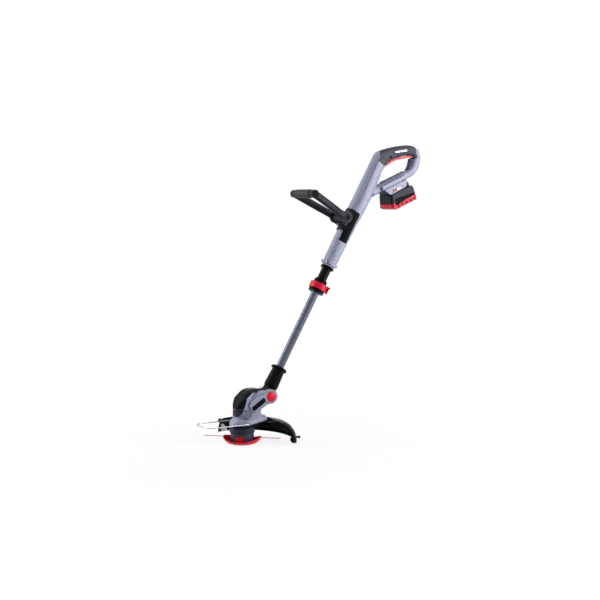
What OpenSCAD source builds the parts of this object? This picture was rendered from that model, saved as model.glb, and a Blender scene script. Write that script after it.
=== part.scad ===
// Battery string trimmer. Origin: spindle axis at the underside of the spool cap.
// +X runs back towards the user, +Y to the tool's right, +Z up. Millimetres.

/* [Shaft] */
// Angle between the shaft and the vertical
shaft_angle = 30; // [26:1:34]
// Height of the head pivot above the ground face
pivot_height = 150.6; // [149:0.2:156]
// Distance of the head pivot behind the spindle
pivot_reach = 91.7; // [91:0.1:98]
// Outer radius of the sliding tube
inner_tube_r = 13; // [12:0.25:14]
// Wall of the sliding tube
inner_tube_wall = 1.2; // [0.8:0.1:2]
// Wall of the fixed tube
outer_tube_wall = 1.8; // [1:0.1:2]
// Gap between the two tubes
tube_gap = 1.3; // [0.6:0.1:1.4]
// Length of the sliding tube above the pivot
inner_tube_top = 475; // [465:1:485]
// Travel of the sliding tube
tube_stroke = 220; // [160:5:225]
// Distance from pivot to the clamp
clamp_start = 385; // [370:1:390]
// Distance from pivot to the housing's lower end
stem_start = 499; // [494:1:504]

/* [Head] */
// Radius of the head's round nose
nose_r = 30.5; // [29:0.5:33]
// Radius of the head's round back
tail_r = 28; // [26:0.5:29]
// Distance from the spindle to the centre of the round back
tail_x = 40; // [38:0.5:42]
// Radius of the head's base rim
rim_r = 41.5; // [40:0.5:43]
// Radius of the rings round the pivot
yoke_r = 23.6; // [22.5:0.1:25]
// Radius of the tilt button
tilt_button_r = 17.8; // [15:0.1:18.5]
// Half the gap between the yoke arms
yoke_gap = 15.3; // [13:0.1:16]
// Outer face of the yoke arms from the middle
yoke_face = 32; // [31:0.5:34]
// Radius of the motor can
motor_r = 19; // [17:0.5:19.5]
// Length of the motor can
motor_len = 50; // [44:1:51]

/* [Spool] */
// Radius of the spool housing
spool_r = 38.5; // [37:0.5:39.5]
// Radius of the dished cap
cap_r = 63; // [60:0.5:66]
// Radius of the cut
cut_r = 128; // [120:1:128]
// Radius of the cutting line
line_r = 1.1; // [0.8:0.1:1.3]
// Turn of the line exits about the spindle
spool_turn = -44; // [-60:1:-30]

/* [Guard] */
// Room between the circle that the line cuts and the outer rim of the guard
guard_room = 27.6; // [24:0.1:32]
// Height of the rim's lower edge
guard_rim_z = 11; // [8:0.5:14]
// Thickness of the guard
guard_wall = 3; // [2.5:0.1:4]
// Reach of the wire guard in front of the spindle
wire_reach = 150; // [140:1:160]
// Half the width of the wire guard
wire_half = 50; // [49:0.5:54]
// Radius of the wire
wire_r = 1.9; // [1.5:0.1:2.2]

/* [Handle] */
// Distance from pivot to the hinge of the second handle
hinge_t = 653.2; // [645:0.5:665]
// Distance from the shaft axis forward to that hinge
hinge_out = 37.3; // [36:0.1:40]
// Reach of the second handle from its hinge
aux_reach = 165.6; // [150:0.5:175]
// Half the width of the second handle across its bar
aux_half = 70; // [65:0.5:76]
// Radius of the second handle's bar
aux_bar_r = 14.5; // [13:0.25:15]
// Half the width of the main grip
grip_half = 17; // [15:0.5:18]
// Travel of the trigger, degrees
trigger_swing = 5; // [3:0.5:5]
// Radius of the lock-off button
lock_r = 3.5; // [3:0.1:4]

/* [Battery] */
// Length of the battery along its rails
battery_len = 101; // [98:1:105]
// Width of the battery
battery_w = 78; // [75:1:82]
// Height of the battery's case below the rails
battery_h = 52; // [50:0.5:53]
// Height of the coloured base
base_h = 22; // [18:0.5:24]
// Radius of a cell
cell_r = 9.1; // [9:0.05:9.2]

/* [Hidden] */
$fn = 64;

big = 600;
fit_gap = 0.05;
seat_gap = 0.3;
outer_bore_r = inner_tube_r + tube_gap;
outer_tube_r = outer_bore_r + outer_tube_wall;

light_grey = [0.62, 0.62, 0.70];
charcoal = [0.22, 0.22, 0.26];
black = [0.08, 0.08, 0.09];
red = [0.82, 0.10, 0.22];
steel = [0.75, 0.76, 0.78];
brass = [0.80, 0.65, 0.30];

// ---- frames -------------------------------------------------------------------------------

// Along the shaft: Z runs up the shaft from the head pivot, -X is the shaft's front
module shaft(t = 0)
    translate([pivot_reach, 0, pivot_height]) rotate([0, shaft_angle, 0]) translate([0, 0, t]) children();

// The grip's own upright frame, fixed to the housing
grip_t = stem_start + 351;
grip_lean = 30;
module grip_frame() shaft(grip_t) rotate([0, -grip_lean, 0]) children();

// The battery's frame: X back along the rails, Z up, origin at the case's front lower edge
battery_lean = 22.5;
battery_at = [72.3, 0, -127.7];
module battery_frame() grip_frame() translate(battery_at) rotate([0, -battery_lean, 0]) children();

// The second handle's frame: origin on its hinge, X forward along the handle
aux_droop = 1.9;
module aux_frame_at() shaft(hinge_t) translate([-hinge_out, 0, 0]) rotate([0, 180 - aux_droop, 0])
    children();

module pivot_axis() translate([pivot_reach, 0, pivot_height]) rotate([90, 0, 0]) children();

// ---- shared shapes ------------------------------------------------------------------------

module tube(r_out, r_in, h) difference() {
    cylinder(r = r_out, h = h);
    translate([0, 0, -1]) cylinder(r = r_in, h = h + 2);
}

// A bar across the tool, centred on Y = 0
module cross_bar(r, half) rotate([90, 0, 0]) cylinder(r = r, h = 2 * half, center = true);

// An outline in X and Z, drawn from y0 to y1
module slab_xz(y0, y1) translate([0, y1, 0]) rotate([90, 0, 0]) linear_extrude(y1 - y0) children();

module both_sides() {
    children();
    mirror([0, 1, 0]) children();
}

module left_half() intersection() {
    children();
    translate([-big, -2 * big, -big]) cube([4 * big, 2 * big, 4 * big]);
}

// How far a straight wall's end lies inside the round it meets
join_depth = 0.03;

// Outline round two circles on the X axis, joined by their tangents
module egg(r1, r2, d) {
    s = (r1 - r2) / d;
    c = sqrt(1 - s * s);
    circle(r1);
    translate([d, 0]) circle(r2);
    a = (r1 - join_depth) * [s, c];
    b = [d, 0] + (r2 - join_depth) * [s, c];
    polygon([a, b, [b[0], -b[1]], [a[0], -a[1]]]);
}

// One closed skin through rings that all have as many points
module skin(rings) {
    n = len(rings[0]);
    last = len(rings) - 1;
    polyhedron(points = [for (ring = rings) each ring],
        faces = concat([[for (i = [0:n - 1]) i]],
            [for (k = [0:last - 1], i = [0:n - 1], lower = [true, false])
                let (a = k * n + i, b = k * n + (i + 1) % n)
                lower ? [a, a + n, b] : [b, a + n, b + n]],
            [[for (i = [n - 1:-1:0]) last * n + i]]));
}

function power(v, p) = sign(v) * pow(abs(v), p);

// Half of a rounded section standing on the path: [x, z, heading, half depth, half width]
function half_ring(s, square = 2.6, steps = 10) = [for (i = [0:steps])
    let (f = 180 * i / steps, u = s[3] * power(cos(f), 2 / square))
    [s[0] - u * sin(s[2]), -s[4] * power(sin(f), 2 / square), s[1] + u * cos(s[2])]];

module half_bar(stations, square = 2.6) skin([for (s = stations) half_ring(s, square)]);

// A round wire along a helix
module coil(r, wire, length, turns) {
    per_turn = 14;
    sides = 6;
    skin([for (k = [0:turns * per_turn])
        let (a = 360 * k / per_turn, h = wire + (length - 2 * wire) * k / (turns * per_turn))
        [for (i = [0:sides - 1]) let (b = 360 * i / sides, q = r + wire * cos(b))
            [q * cos(a), q * sin(a), h - wire * sin(b)]]]);
}

// A pan-head screw pointing down from Z = 0, its head above
screw_r = 1.5;
head_lift = 0.05;
module screw(length) {
    translate([0, 0, head_lift]) cylinder(r = 2 * screw_r, h = screw_r);
    translate([0, 0, -length]) cylinder(r = screw_r, h = length + 0.1);
}

// The same screw lying across the tool: its head is at y = side * seat
module across_screw(seat, length, side) rotate([-90 * side, 0, 0]) translate([0, 0, seat]) screw(length);

// Its hole in the near half: blind, or right through with a well for the head
module screw_hole(seat, headed) translate([0, 1, 0]) rotate([90, 0, 0]) {
    cylinder(r = bore_r, h = headed ? 4 * seat : seat + 0.5);
    if (headed) translate([0, 0, seat + 1]) cylinder(r = well_r, h = 60);
}

// ---- housing ------------------------------------------------------------------------------

// Stem and front strut, in the shaft's terms: [offset back, distance up, half depth, half width]
stem_rows = [[1, stem_start - 11, 22.5, 22], [0.5, stem_start + 26, 23.3, 23],
    [1.8, stem_start + 140, 25.3, 24],
    [4, stem_start + 201, 27.6, 25], [5.5, stem_start + 268, 29.2, 24.5],
        [4.5, stem_start + 321, 28.3, 21.5],
    [2, stem_start + 371, 26, 19]];
function from_shaft(c, t) = [c * cos(grip_lean) + (t - grip_t) * sin(grip_lean),
    (t - grip_t) * cos(grip_lean) - c * sin(grip_lean)];
stem_path = [for (s = stem_rows) let (q = from_shaft(s[0], s[1])) [q[0], q[1], 90 - grip_lean, s[2], s[3]]];

// The grip's bend and bar, the rear bend and the bridge, in the grip's frame
bend_path = [[22.8, 32, 52, 27.6, 18.5], [27.8, 41, 46, 29.5, 18], [35.2, 48.8, 40.8, 29.4, 17.5]];
grip_path = [[35.2, 48.8, 40.8, 29.4, 17.5], [45.8, 53.9, 34.3, 26.2, grip_half],
    [60, 60, 25, 23.5, grip_half], [85, 68, 13, 20.5, grip_half],
    [108, 73, 8, 19, grip_half], [140, 77.5, 3, 18.5, grip_half], [162, 76.5, -9, 19, grip_half],
    [178, 67, -42, 20, grip_half - 0.5], [183, 52, -76, 18, grip_half - 1]];
rear_path = [[183, 52, -76, 17.5, grip_half - 1], [181, 36, -97, 17, 16], [174, 18, -112, 16.5, 15.5],
    [161, 2, -137, 15, 15.5], [140, -7.5, -156, 13.5, 16], [100, -23.8, -157.5, 13, 16.5],
    [30, -52.5, -157.5, 14, 17.5], [-8, -69, -157.5, 16, 18]];

core_half = 8.5;
core_path = [[30, 36], [60, 56], [85, 64], [108, 69.5], [140, 74], [162, 73.5], [176, 64], [184, 44]];
core_depth = 8;
module grip_core_2d(extra = 0) for (i = [0:len(core_path) - 2]) {
    a = core_path[i];
    b = core_path[i + 1];
    run = norm(b - a);
    translate(a) rotate(atan2(b[1] - a[1], b[0] - a[0]))
        translate([-1, -core_depth - extra]) square([run + 2, 2 * (core_depth + extra)]);
    translate(a) circle(core_depth + extra);
}

cowl_r = 27;
cowl_x = 3;
crease_x = -12;
// The raised cowl along the stem's front, in the shaft's terms
module cowl(r = cowl_r, from = stem_start + 24, to = stem_start + 407) shaft() intersection() {
    translate([cowl_x, 0, from]) cylinder(r = r, h = to - from);
    translate([-big, -big, from - 1]) cube([big + crease_x, 2 * big, to - from + 2]);
}

bore_end = stem_start + 216;
foot_y = 33;
dock_half = 27.5;
foot_outline = [[-14, 77], [3, 53.4], [60, 53.4], [74, 56], [82, 66], [84, 78]];
dock_outline = [[-3, 77], [3.5, 53.7], [62, 53.7], [74, 57], [82, 77]];
// Screws across the stem: [distance up, offset back, side of the head]
screw_at = [[stem_start - 6, -18.2, -1], [stem_start + 80, 19.5, 1], [stem_start + 230, 16, 1]];
well_r = 3.7;
bore_r = 1.6;
boss_front = [-24.5, stem_start - 7];
boss_rear = [25, stem_start - 4];

module housing_side(side) {
    difference() {
        union() {
            grip_frame() half_bar(concat(stem_path, bend_path));
            grip_frame() half_bar(rear_path);
            left_half() cowl();
            grip_frame() slab_xz(-core_half, 0) grip_core_2d();
            battery_frame() slab_xz(-foot_y, -dock_half) polygon(foot_outline);
            battery_frame() slab_xz(-dock_half, 0)
                polygon([[-16, 76.8], [-16, 92], [86, 92], [84, 76.8]]);
            for (b = [boss_front, boss_rear])
                shaft(b[1]) translate([b[0], 0, 0]) rotate([90, 0, 0]) cylinder(r = 4.8, h = 9);
            left_half() shaft(stem_start - 18) {
                cylinder(r = ring_r, h = 4);
                cylinder(r = ring_r - 1.8, h = 20);
            }
        }
        shaft(stem_start - 30) cylinder(r = outer_tube_r + fit_gap, h = bore_end - stem_start + 30);
        shaft(stem_start - 30) cylinder(r = flange_hub_r + fit_gap, h = flange_hub + 30.3);
        for (s = screw_at) shaft(s[0]) translate([s[1], 0, 0]) screw_hole(10, s[2] == side);
        for (b = [boss_front, boss_rear]) shaft(b[1]) translate([b[0], 0, 0]) screw_hole(9, side > 0);
        grip_frame() {
            lock_hole();
            slab_xz(-trigger_half - 0.8, 1) trigger_pocket();
            slab_xz(-switch_half - 0.3, 1) switch_pocket();
        }
        battery_frame() slab_xz(-dock_half, 1) polygon(dock_outline);
        pad_bed() translate([pad_end[0] - 0.05, -pad_half - 0.05, pad_floor])
            cube([pad_end[1] - pad_end[0] + 0.1, pad_half + 1, 20]);
        shaft(board_t - 0.5) translate([-0.5, -board_half - 0.5, 0])
            cube([board_h + 1, board_half + 2, board_len + 1]);
    }
}
module housing_left() color(light_grey) housing_side(-1);
module housing_right() color(light_grey) mirror([0, 1, 0]) housing_side(1);

// Screws that pull the two halves together, sunk in wells
module housing_screws() color(steel) {
    for (s = screw_at) shaft(s[0]) translate([s[1], 0, 0]) across_screw(10, 19, s[2]);
    for (b = [boss_front, boss_rear]) shaft(b[1]) translate([b[0], 0, 0]) across_screw(9, 17, 1);
}

// Soft covers over the core of the grip
module grip_cover() difference() {
    grip_frame() half_bar(grip_path);
    grip_frame() {
        slab_xz(-core_half - 0.1, 1) grip_core_2d(0.1);
        slab_xz(-core_half - 0.1, 1) translate([20, 20]) rotate(40) square([22, 60]);
        lock_hole();
        slab_xz(-trigger_half - 0.8, 1) trigger_pocket();
        slab_xz(-switch_half - 0.3, 1) switch_pocket();
        inlay_bed(0.05);
        translate([trigger_pin_at[0], 0, trigger_pin_at[1]])
            cross_bar(trigger_pin_r + 0.02, pin_half + 0.3);
    }
}
module grip_cover_left() color(charcoal) grip_cover();
module grip_cover_right() color(charcoal) mirror([0, 1, 0]) grip_cover();

// Bright strips let into the two sides of the grip
module inlay_bed(extra = 0) translate([86, -grip_half + 0.6 - 0.02, 70.5]) rotate([0, -8, 0])
    slab_xz(-1.2, 0.8) { circle(2.6 + extra); translate([46, 0]) circle(2.6 + extra);
        translate([0, -2.6 - extra]) square([46, 5.2 + 2 * extra]); }
module grip_inlays() color(steel) grip_frame() both_sides() inlay_bed();

// Liner down the inside of the loop's rear bar
module loop_liner() color(charcoal) grip_frame() both_sides() difference() {
    slab_xz(-9, 0) polygon([[156.5, 42], [157.3, 49.5], [166, 47.5], [165.5, 38], [158.5, 20], [147.5, 8.5],
        [141, 8.8], [150, 18]]);
    half_bar(rear_path);
    half_bar(grip_path);
}

// Ribbed pad along the top of the bridge
pad_rib = 3.2;
pad_half = 9.5;
pad_floor = -2;
pad_end = [6, 110];
module pad_bed() grip_frame() translate([29, 0, -38.6]) rotate([0, -battery_lean, 0]) children();
module bridge_pad() color(charcoal) pad_bed()
    difference() {
        translate([pad_end[0], -pad_half, pad_floor]) cube([pad_end[1] - pad_end[0], 2 * pad_half, 4.2]);
        for (i = [0:15]) translate([9 + 2 * pad_rib * i, -12, 1.4]) rotate([0, 0, 18])
            cube([pad_rib, 30, 2]);
    }

// ---- battery dock -------------------------------------------------------------------------

rail_half = 22;
rail_h = 13;
rail_start = 12;
rail_gap = 0.4;
module battery_dock() color(charcoal) battery_frame() difference() {
    slab_xz(-dock_half + 0.05, dock_half - 0.05) polygon(dock_outline);
    translate([rail_start, -rail_half - rail_gap, 50])
        cube([big, 2 * (rail_half + rail_gap), battery_h + rail_h + rail_gap - 50]);
    for (s = [-1, 1]) translate([rail_start, s * (rail_half - 2) - 4.4, battery_h + 4.6])
        cube([big, 8.8, 5.6]);
    for (y = terminal_y) translate([rail_start - 5, y - 2.2, battery_h + 3]) cube([8, 4.4, 8]);
}

terminal_y = [-14, -5, 5, 14];
module dock_terminals() color(brass) battery_frame()
    for (y = terminal_y) translate([rail_start - 4.8, y - 0.5, battery_h + 4]) cube([17, 1, 5.5]);

// ---- trigger and switch -------------------------------------------------------------------

trigger_half = 8;
trigger_pin_at = [160, 63];
trigger_pin_r = 2;
pin_half = 12;
trigger_low = [[45, 19], [52, 20.5], [60, 27], [75, 36.5], [92, 42.5], [110, 46.5], [135, 50.5],
    [160, 53.5]];
trigger_thick = 7;
trigger_room = 11.5;
function lifted(points, h) = [for (i = [len(points) - 1:-1:0]) points[i] + [-1, h]];
module trigger_2d() {
    polygon(concat(trigger_low, lifted(trigger_low, trigger_thick)));
    translate(trigger_pin_at) circle(5);
    translate([153, 53]) square([12, 10]);
}
// Room for the trigger at rest and pulled
module trigger_pocket() {
    polygon(concat([for (q = trigger_low) q + [1, -6]], lifted(trigger_low, trigger_thick + trigger_room)));
    translate([41, 10]) square([13, 28]);
    translate(trigger_pin_at) circle(5.8);
    translate([151, 46]) square([15, 18]);
}
module trigger() color(red) grip_frame() difference() {
    union() {
        slab_xz(-trigger_half, trigger_half) trigger_2d();
        translate([switch_at[0] + 8, 0, switch_at[1] - 8]) cylinder(r = plunger_r, h = 7.6);
    }
    translate([trigger_pin_at[0], 0, trigger_pin_at[1]]) cross_bar(trigger_pin_r + fit_gap, big);
    translate([spring_at[0], 0, spring_seat]) cylinder(r = 3.2, h = 12);
}
module trigger_pin() color(steel) grip_frame()
    translate([trigger_pin_at[0], 0, trigger_pin_at[1]]) cross_bar(trigger_pin_r, pin_half);

spring_at = [88, 0];
spring_seat = 45;
spring_len = 14.4;
module trigger_spring() color(steel) grip_frame()
    translate([spring_at[0], 0, spring_seat + 0.2]) coil(2.2, 0.45, spring_len, 5);

switch_at = [104, 60.4];
switch_size = [28, 12];
switch_half = 6;
plunger_r = 1.2;
module switch_pocket() translate(switch_at - [0.4, 0.4]) square(switch_size + [0.8, 0.8]);
module trigger_switch() color(black) grip_frame() difference() {
    slab_xz(-switch_half, switch_half) translate(switch_at) square(switch_size);
    translate([switch_at[0] + 8, 0, switch_at[1] - 1]) cylinder(r = plunger_r + 0.8, h = 7);
}

lock_at = [64, 53];
lock_reach = 19.5;
module lock_hole() translate([lock_at[0], 0, lock_at[1]]) cross_bar(lock_r + fit_gap, big);
module lock_button() color(black) grip_frame() translate([lock_at[0], 0, lock_at[1]]) difference() {
    cross_bar(lock_r, lock_reach);
    translate([-big / 2, -3, lock_r - 1]) cube([big, 6, 3]);
}

board_t = stem_start + 223;
board_len = 56;
board_half = 12;
board_h = 9;
board_wall = 1.6;
module control_board() color([0.1, 0.35, 0.2]) shaft(board_t) {
    translate([0, -board_half, 0]) cube([board_wall, 2 * board_half, board_len]);
    for (z = [6, 20, 36]) translate([board_wall, -8, z]) cube([6, 16, 9]);
}

// ---- tubes and clamp ----------------------------------------------------------------------

tube_seat = clamp_start + 11;
module outer_tube() color(black) shaft(tube_seat)
    tube(outer_tube_r, outer_bore_r, bore_end - tube_seat - 1);

flange_r = 23;
flange_hub_r = 17.8;
flange_hub = -12;
ring_r = 21.6;
module tube_flange() color(black) shaft(stem_start) difference() {
    union() {
        translate([0, 0, -24.5]) cylinder(r = flange_r, h = 4.5);
        translate([0, 0, -21]) cylinder(r = flange_hub_r + 1.5, h = 2.7);
        translate([0, 0, -21]) cylinder(r = flange_hub_r, h = flange_hub + 21);
    }
    translate([0, 0, -30]) cylinder(r = outer_tube_r + fit_gap, h = 60);
}

collar_r = 24.5;
lever_angle = -32;
lever_pin_r = 2.5;
lever_pin_out = 32;
lever_h = 20.5;
lever_lo = 9.5;
ring_slots = 12;
module at_pin() rotate([0, 0, lever_angle]) translate([lever_pin_out, 0, 0]) children();
module clamp_collar() color(black) shaft(clamp_start) difference() {
    union() {
        cylinder(r = 26.5, h = lever_lo - 1);
        cylinder(r = collar_r, h = lever_lo + lever_h + 2);
        translate([0, 0, lever_lo + lever_h + 1]) cylinder(r1 = 23.5, r2 = 21, h = 15);
        rotate([0, 0, lever_angle]) translate([15, -4.6, lever_lo + 7.5])
            cube([lever_pin_out - 15, 9.2, 6]);
        translate([0, 0, lever_lo + 7]) at_pin() cylinder(r = 5, h = 7);
        rotate([0, 0, lever_angle]) translate([10, -6, lever_lo + lever_h + 0.6]) cube([30, 12, 2]);
    }
    translate([0, 0, -1]) cylinder(r = inner_tube_r + fit_gap, h = 60);
    translate([0, 0, tube_seat - clamp_start]) cylinder(r = outer_tube_r + fit_gap, h = 60);
    for (i = [0:ring_slots - 1]) rotate([0, 0, 360 / ring_slots * (i + 0.5)])
        translate([outer_tube_r + 1.5, -2, lever_lo + lever_h + 6]) cube([20, 4, 20]);
    at_pin() translate([0, 0, -1]) cylinder(r = lever_pin_r, h = 60);
    rotate([0, 0, lever_angle + 180]) translate([inner_tube_r - 2, -0.8, -1]) cube([20, 1.6, 60]);
}
module clamp_pin() color(steel) shaft(clamp_start + lever_lo - 0.5) at_pin()
    cylinder(r = lever_pin_r - 0.01, h = lever_h + 3.2);
module clamp_lever() color(red) shaft(clamp_start + lever_lo) difference() {
    union() {
        intersection() {
            tube(collar_r + 5.5, collar_r + 0.8, lever_h);
            rotate([0, 0, lever_angle]) translate([-big, -big, -1]) cube([2 * big, big, lever_h + 2]);
        }
        translate([0, 0, 0.4]) at_pin() cylinder(r = 5.8, h = lever_h - 0.8);
        rotate([0, 0, lever_angle]) translate([collar_r + 1.5, -4.4, 0.8]) cube([7, 4, lever_h - 1.6]);
        rotate([0, 0, lever_angle + 180]) translate([collar_r + 1.3, -1, 0]) cube([3.9, 8, lever_h]);
    }
    at_pin() translate([0, 0, -1]) cylinder(r = lever_pin_r + fit_gap, h = lever_h + 2);
    rotate([0, 0, lever_angle]) translate([collar_r - 1, -6, 6.6]) cube([24, 20, 7.8]);
    rotate([0, 0, lever_angle]) translate([0, -1, 6.6]) cube([40, 30, 7.8]);
}

module inner_tube() color(steel) shaft(inner_tube_lo)
    tube(inner_tube_r, inner_tube_r - inner_tube_wall, inner_tube_top - inner_tube_lo);
module tube_bush() color(black) shaft(inner_tube_top - 22) difference() {
    cylinder(r = outer_bore_r - fit_gap, h = 25);
    translate([0, 0, -1]) cylinder(r = inner_tube_r + 0.02, h = 23);
    cylinder(r = inner_tube_r - inner_tube_wall, h = 60);
}

// ---- neck ---------------------------------------------------------------------------------

inner_tube_lo = 46;
neck_lo = 27;
neck_top = 103;
tongue_r = yoke_r - 1.6;
trunnion_r = 11;
trunnion_half = 22;
neck_screw_at = [[-22, neck_top - 7, 10], [22, neck_top - 7, 10], [0, 38, 18]];
module neck_side(side) difference() {
    union() {
        left_half() shaft() rotate_extrude() polygon([[0, neck_lo], [19, neck_lo], [24, neck_lo + 7],
            [23.5, neck_lo + 20], [21, neck_top - 9], [24.5, neck_top - 7], [24.5, neck_top - 1],
            [23.5, neck_top], [0, neck_top]]);
        pivot_axis() cylinder(r = tongue_r, h = yoke_gap - 0.4);
        pivot_axis() cylinder(r = trunnion_r, h = trunnion_half);
        shaft() translate([-17, -yoke_gap + 0.8, 0]) cube([34, yoke_gap - 0.8, neck_lo + 2]);
        for (s = [-1, 1]) shaft(neck_top - 6.2) translate([21.5 * s, 0, 0]) rotate([90, 0, 0])
            cylinder(r = 4.8, h = 9.6);
    }
    shaft(inner_tube_lo) cylinder(r = inner_tube_r + fit_gap, h = 100);
    pivot_axis() translate([0, 0, trunnion_half - 13]) cylinder(r = 6, h = 50);
    for (s = neck_screw_at) shaft(s[1]) translate([s[0], 0, 0]) screw_hole(s[2] - 1, side > 0);
}
module neck_left() color(black) neck_side(-1);
module neck_right() color(black) mirror([0, 1, 0]) neck_side(1);
module neck_screws() color(steel)
    for (s = neck_screw_at) shaft(s[1]) translate([s[0], 0, 0]) across_screw(s[2], 2 * s[2] - 2, 1);

// ---- head ---------------------------------------------------------------------------------

head_lo = 62;
rim_h = 7;
head_top = 179;
head_side = [[-18, 78], [-29.5, 96], [-nose_r - 0.5, 103], [-nose_r, 112], [-27.5, 122], [-23.5, 131],
    [-17.5, 142], [-9.5, 154], [3, 168], [12, head_top - 4], [22, head_top - 1], [34, head_top],
        [54, head_top - 1],
    [tail_x + tail_r, 170], [tail_x + tail_r, 78]];
cap_line = [[-big, 117], [-9, 117], [2, 149], [28, 167], [46, 166], [big, 158], [big, big], [-big, big]];
chin_line = [[-big, 116.7], [-9.4, 116.7], [-15, 104], [-27, 88], [-big, 88]];
face_half = 33;

module head_form() intersection() {
    slab_xz(-big, big) polygon(head_side);
    linear_extrude(big) egg(nose_r, tail_r, tail_x);
    rotate([90, 0, 90]) translate([0, 0, -big]) linear_extrude(2 * big)
        polygon([[-face_half, 0], [-face_half, 142], [-25, 154], [-21, 167], [-15, head_top + 1],
            [15, head_top + 1], [21, 167], [25, 154], [face_half, 142], [face_half, 0]]);
}
// The base rim rises towards the user
skirt_z = 65;
skirt_tilt = 5;
module on_skirt(z = 0) translate([0, 0, skirt_z]) rotate([0, -skirt_tilt, 0]) translate([0, 0, z])
    children();
// The base's levels: [height on the skirt's plane, front radius, back radius, distance between, share of tilt]
skirt_levels = [[0, rim_r, 25, 66, 1], [rim_h, rim_r, 25, 66, 1], [rim_h + 3, rim_r - 1, 24.2, 65, 1],
    [rim_h + 7, rim_r - 4, 22.5, 62, 1], [rim_h + 12, rim_r - 9, 21, 54, 0.8],
        [rim_h + 18, rim_r - 17, 20, 44, 0.4]];
function egg_points(r1, r2, d) = let (q = acos((r1 - r2) / d)) concat(
    [for (i = [0:24]) let (f = q + (360 - 2 * q) * i / 24) r1 * [cos(f), sin(f)]],
    [for (i = [0:12]) let (f = -q + 2 * q * i / 12) [d, 0] + r2 * [cos(f), sin(f)]]);
function skirt_ring(v) = [for (q = egg_points(v[1], v[2], v[3]))
    [q[0], q[1], skirt_z + v[0] + v[4] * tan(skirt_tilt) * q[0]]];
module skirt() skin([for (v = skirt_levels) skirt_ring(v)]);
arm_outline = [[4, 128], [8, 138], [30, 158], [50, 172], [78, 170.5], [105, 132], [80, 126], [31, 100],
    [14, 108]];
panel_outline = [[9, 128], [13, 139], [34, 155], [78, 166], [104, 132], [79, 129], [33, 104], [16, 111]];
// Wedge-shaped slot over the arm's panel
slot_outline = [[6, 140.5], [33, 161], [38.5, 160], [37, 155.5], [9, 137.5]];
side_boss_at = [2.5, 101];
side_boss_r = 14;
wire_z = 70;
motor_lo = 78;
can_room = 1.5;
module head_side_shell(side) difference() {
    union() {
        difference() {
            left_half() { head_form(); skirt(); }
            slab_xz(-big, 1) polygon(cap_line);
            slab_xz(-big, 1) polygon(chin_line);
        }
        slab_xz(-yoke_face + 1.5, -yoke_gap) intersection() {
            polygon(arm_outline);
            translate([-big, 0]) square([big + pivot_reach, big]);
        }
        slab_xz(-yoke_face, -yoke_gap) translate([pivot_reach, pivot_height]) circle(yoke_r);
        slab_xz(-yoke_face - 3, -20) intersection() {
            polygon(panel_outline);
            translate([-big, 0]) square([big + pivot_reach - 22, big]);
        }
        slab_xz(-face_half - 1.5, -20) translate(side_boss_at) circle(side_boss_r + 1);
        translate([0, 0, wire_z]) rotate([90, 0, 0]) cylinder(r = 6, h = rim_r + 1.2);
    }
    pivot_axis() translate([0, 0, -1]) cylinder(r = yoke_r, h = yoke_gap + 1);
    pivot_axis() translate([0, 0, -1]) cylinder(r = trunnion_r + fit_gap, h = trunnion_half + 1.5);
    translate([0, 0, head_lo - 4]) motor_room();
    translate([0, 0, wire_z]) rotate([90, 0, 0]) translate([0, 0, 30])
        cylinder(r = wire_r + fit_gap, h = 30);
    translate([-nose_r - 5, 0, nose_at[1]]) rotate([0, 90, 0])
        cylinder(r = nose_button_r + fit_gap, h = 12);
    for (s = head_screw_at) translate([s[0], 0, s[1]]) screw_hole(19, side > 0);
    for (a = guard_screw_at) translate([a[0], -a[1],
        head_lo - 4]) cylinder(r = bore_r, h = guard_screw_len);
    slab_xz(-face_half - 9, -face_half + 2.5) polygon(slot_outline);
}
module motor_room() cylinder(r = motor_r + can_room, h = motor_lo - head_lo + motor_len + 9);
head_screw_at = [[52, 96], [60, 150], [40, 146]];
module head_left() color(light_grey) difference() {
    head_side_shell(-1);
    pivot_axis() cylinder(r = 5.2, h = 30);
    pivot_axis() translate([0, 0, trunnion_half + 2]) cylinder(r = tilt_button_r + fit_gap, h = 30);
}
module head_right() color(light_grey) mirror([0, 1, 0]) head_side_shell(1);
module head_screws() color(steel)
    for (s = head_screw_at) translate([s[0], 0, s[1]]) across_screw(20, 38, 1);

module head_cap() color(black) difference() {
    intersection() {
        head_form();
        slab_xz(-big, big) translate([0, 0.3]) polygon(cap_line);
    }
    for (s = [-1, 1]) slab_xz(s > 0 ? yoke_gap - 0.1 : -big, s > 0 ? big : -yoke_gap + 0.1)
        polygon(arm_outline);
    for (s = [-1, 1]) slab_xz(s > 0 ? 19.5 : -big, s > 0 ? big : -19.5) polygon(panel_outline);
    pivot_axis() cylinder(r = yoke_r, h = 2 * yoke_gap, center = true);
    translate([0, 0, head_lo - 4]) motor_room();
}
nose_at = [0, 108];
nose_button_r = 4.5;
module head_chin() color(charcoal) difference() {
    intersection() {
        head_form();
        slab_xz(-big, big) polygon(chin_line);
    }
    translate([0, 0, head_lo - 4]) motor_room();
    translate([-nose_r - 5, 0, nose_at[1]]) rotate([0, 90, 0])
        cylinder(r = nose_button_r + fit_gap, h = 12);
    for (s = [-1, 1]) slab_xz(s > 0 ? 19.5 : -big, s > 0 ? big : -19.5)
        translate(side_boss_at) circle(side_boss_r + 1);
}
module nose_button() color(red) translate([-nose_r - 3, 0, nose_at[1]]) rotate([0, 90, 0]) {
    cylinder(r1 = nose_button_r - 1, r2 = nose_button_r, h = 1.2);
    translate([0, 0, 1.2]) cylinder(r = nose_button_r, h = 6);
}

module side_caps() color(light_grey) both_sides() difference() {
    slab_xz(-face_half - 4, -face_half - 1.6) translate(side_boss_at) circle(side_boss_r);
    slab_xz(-big, -face_half - 3.2) translate(side_boss_at) circle(side_boss_r - 2.2);
}

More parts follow.
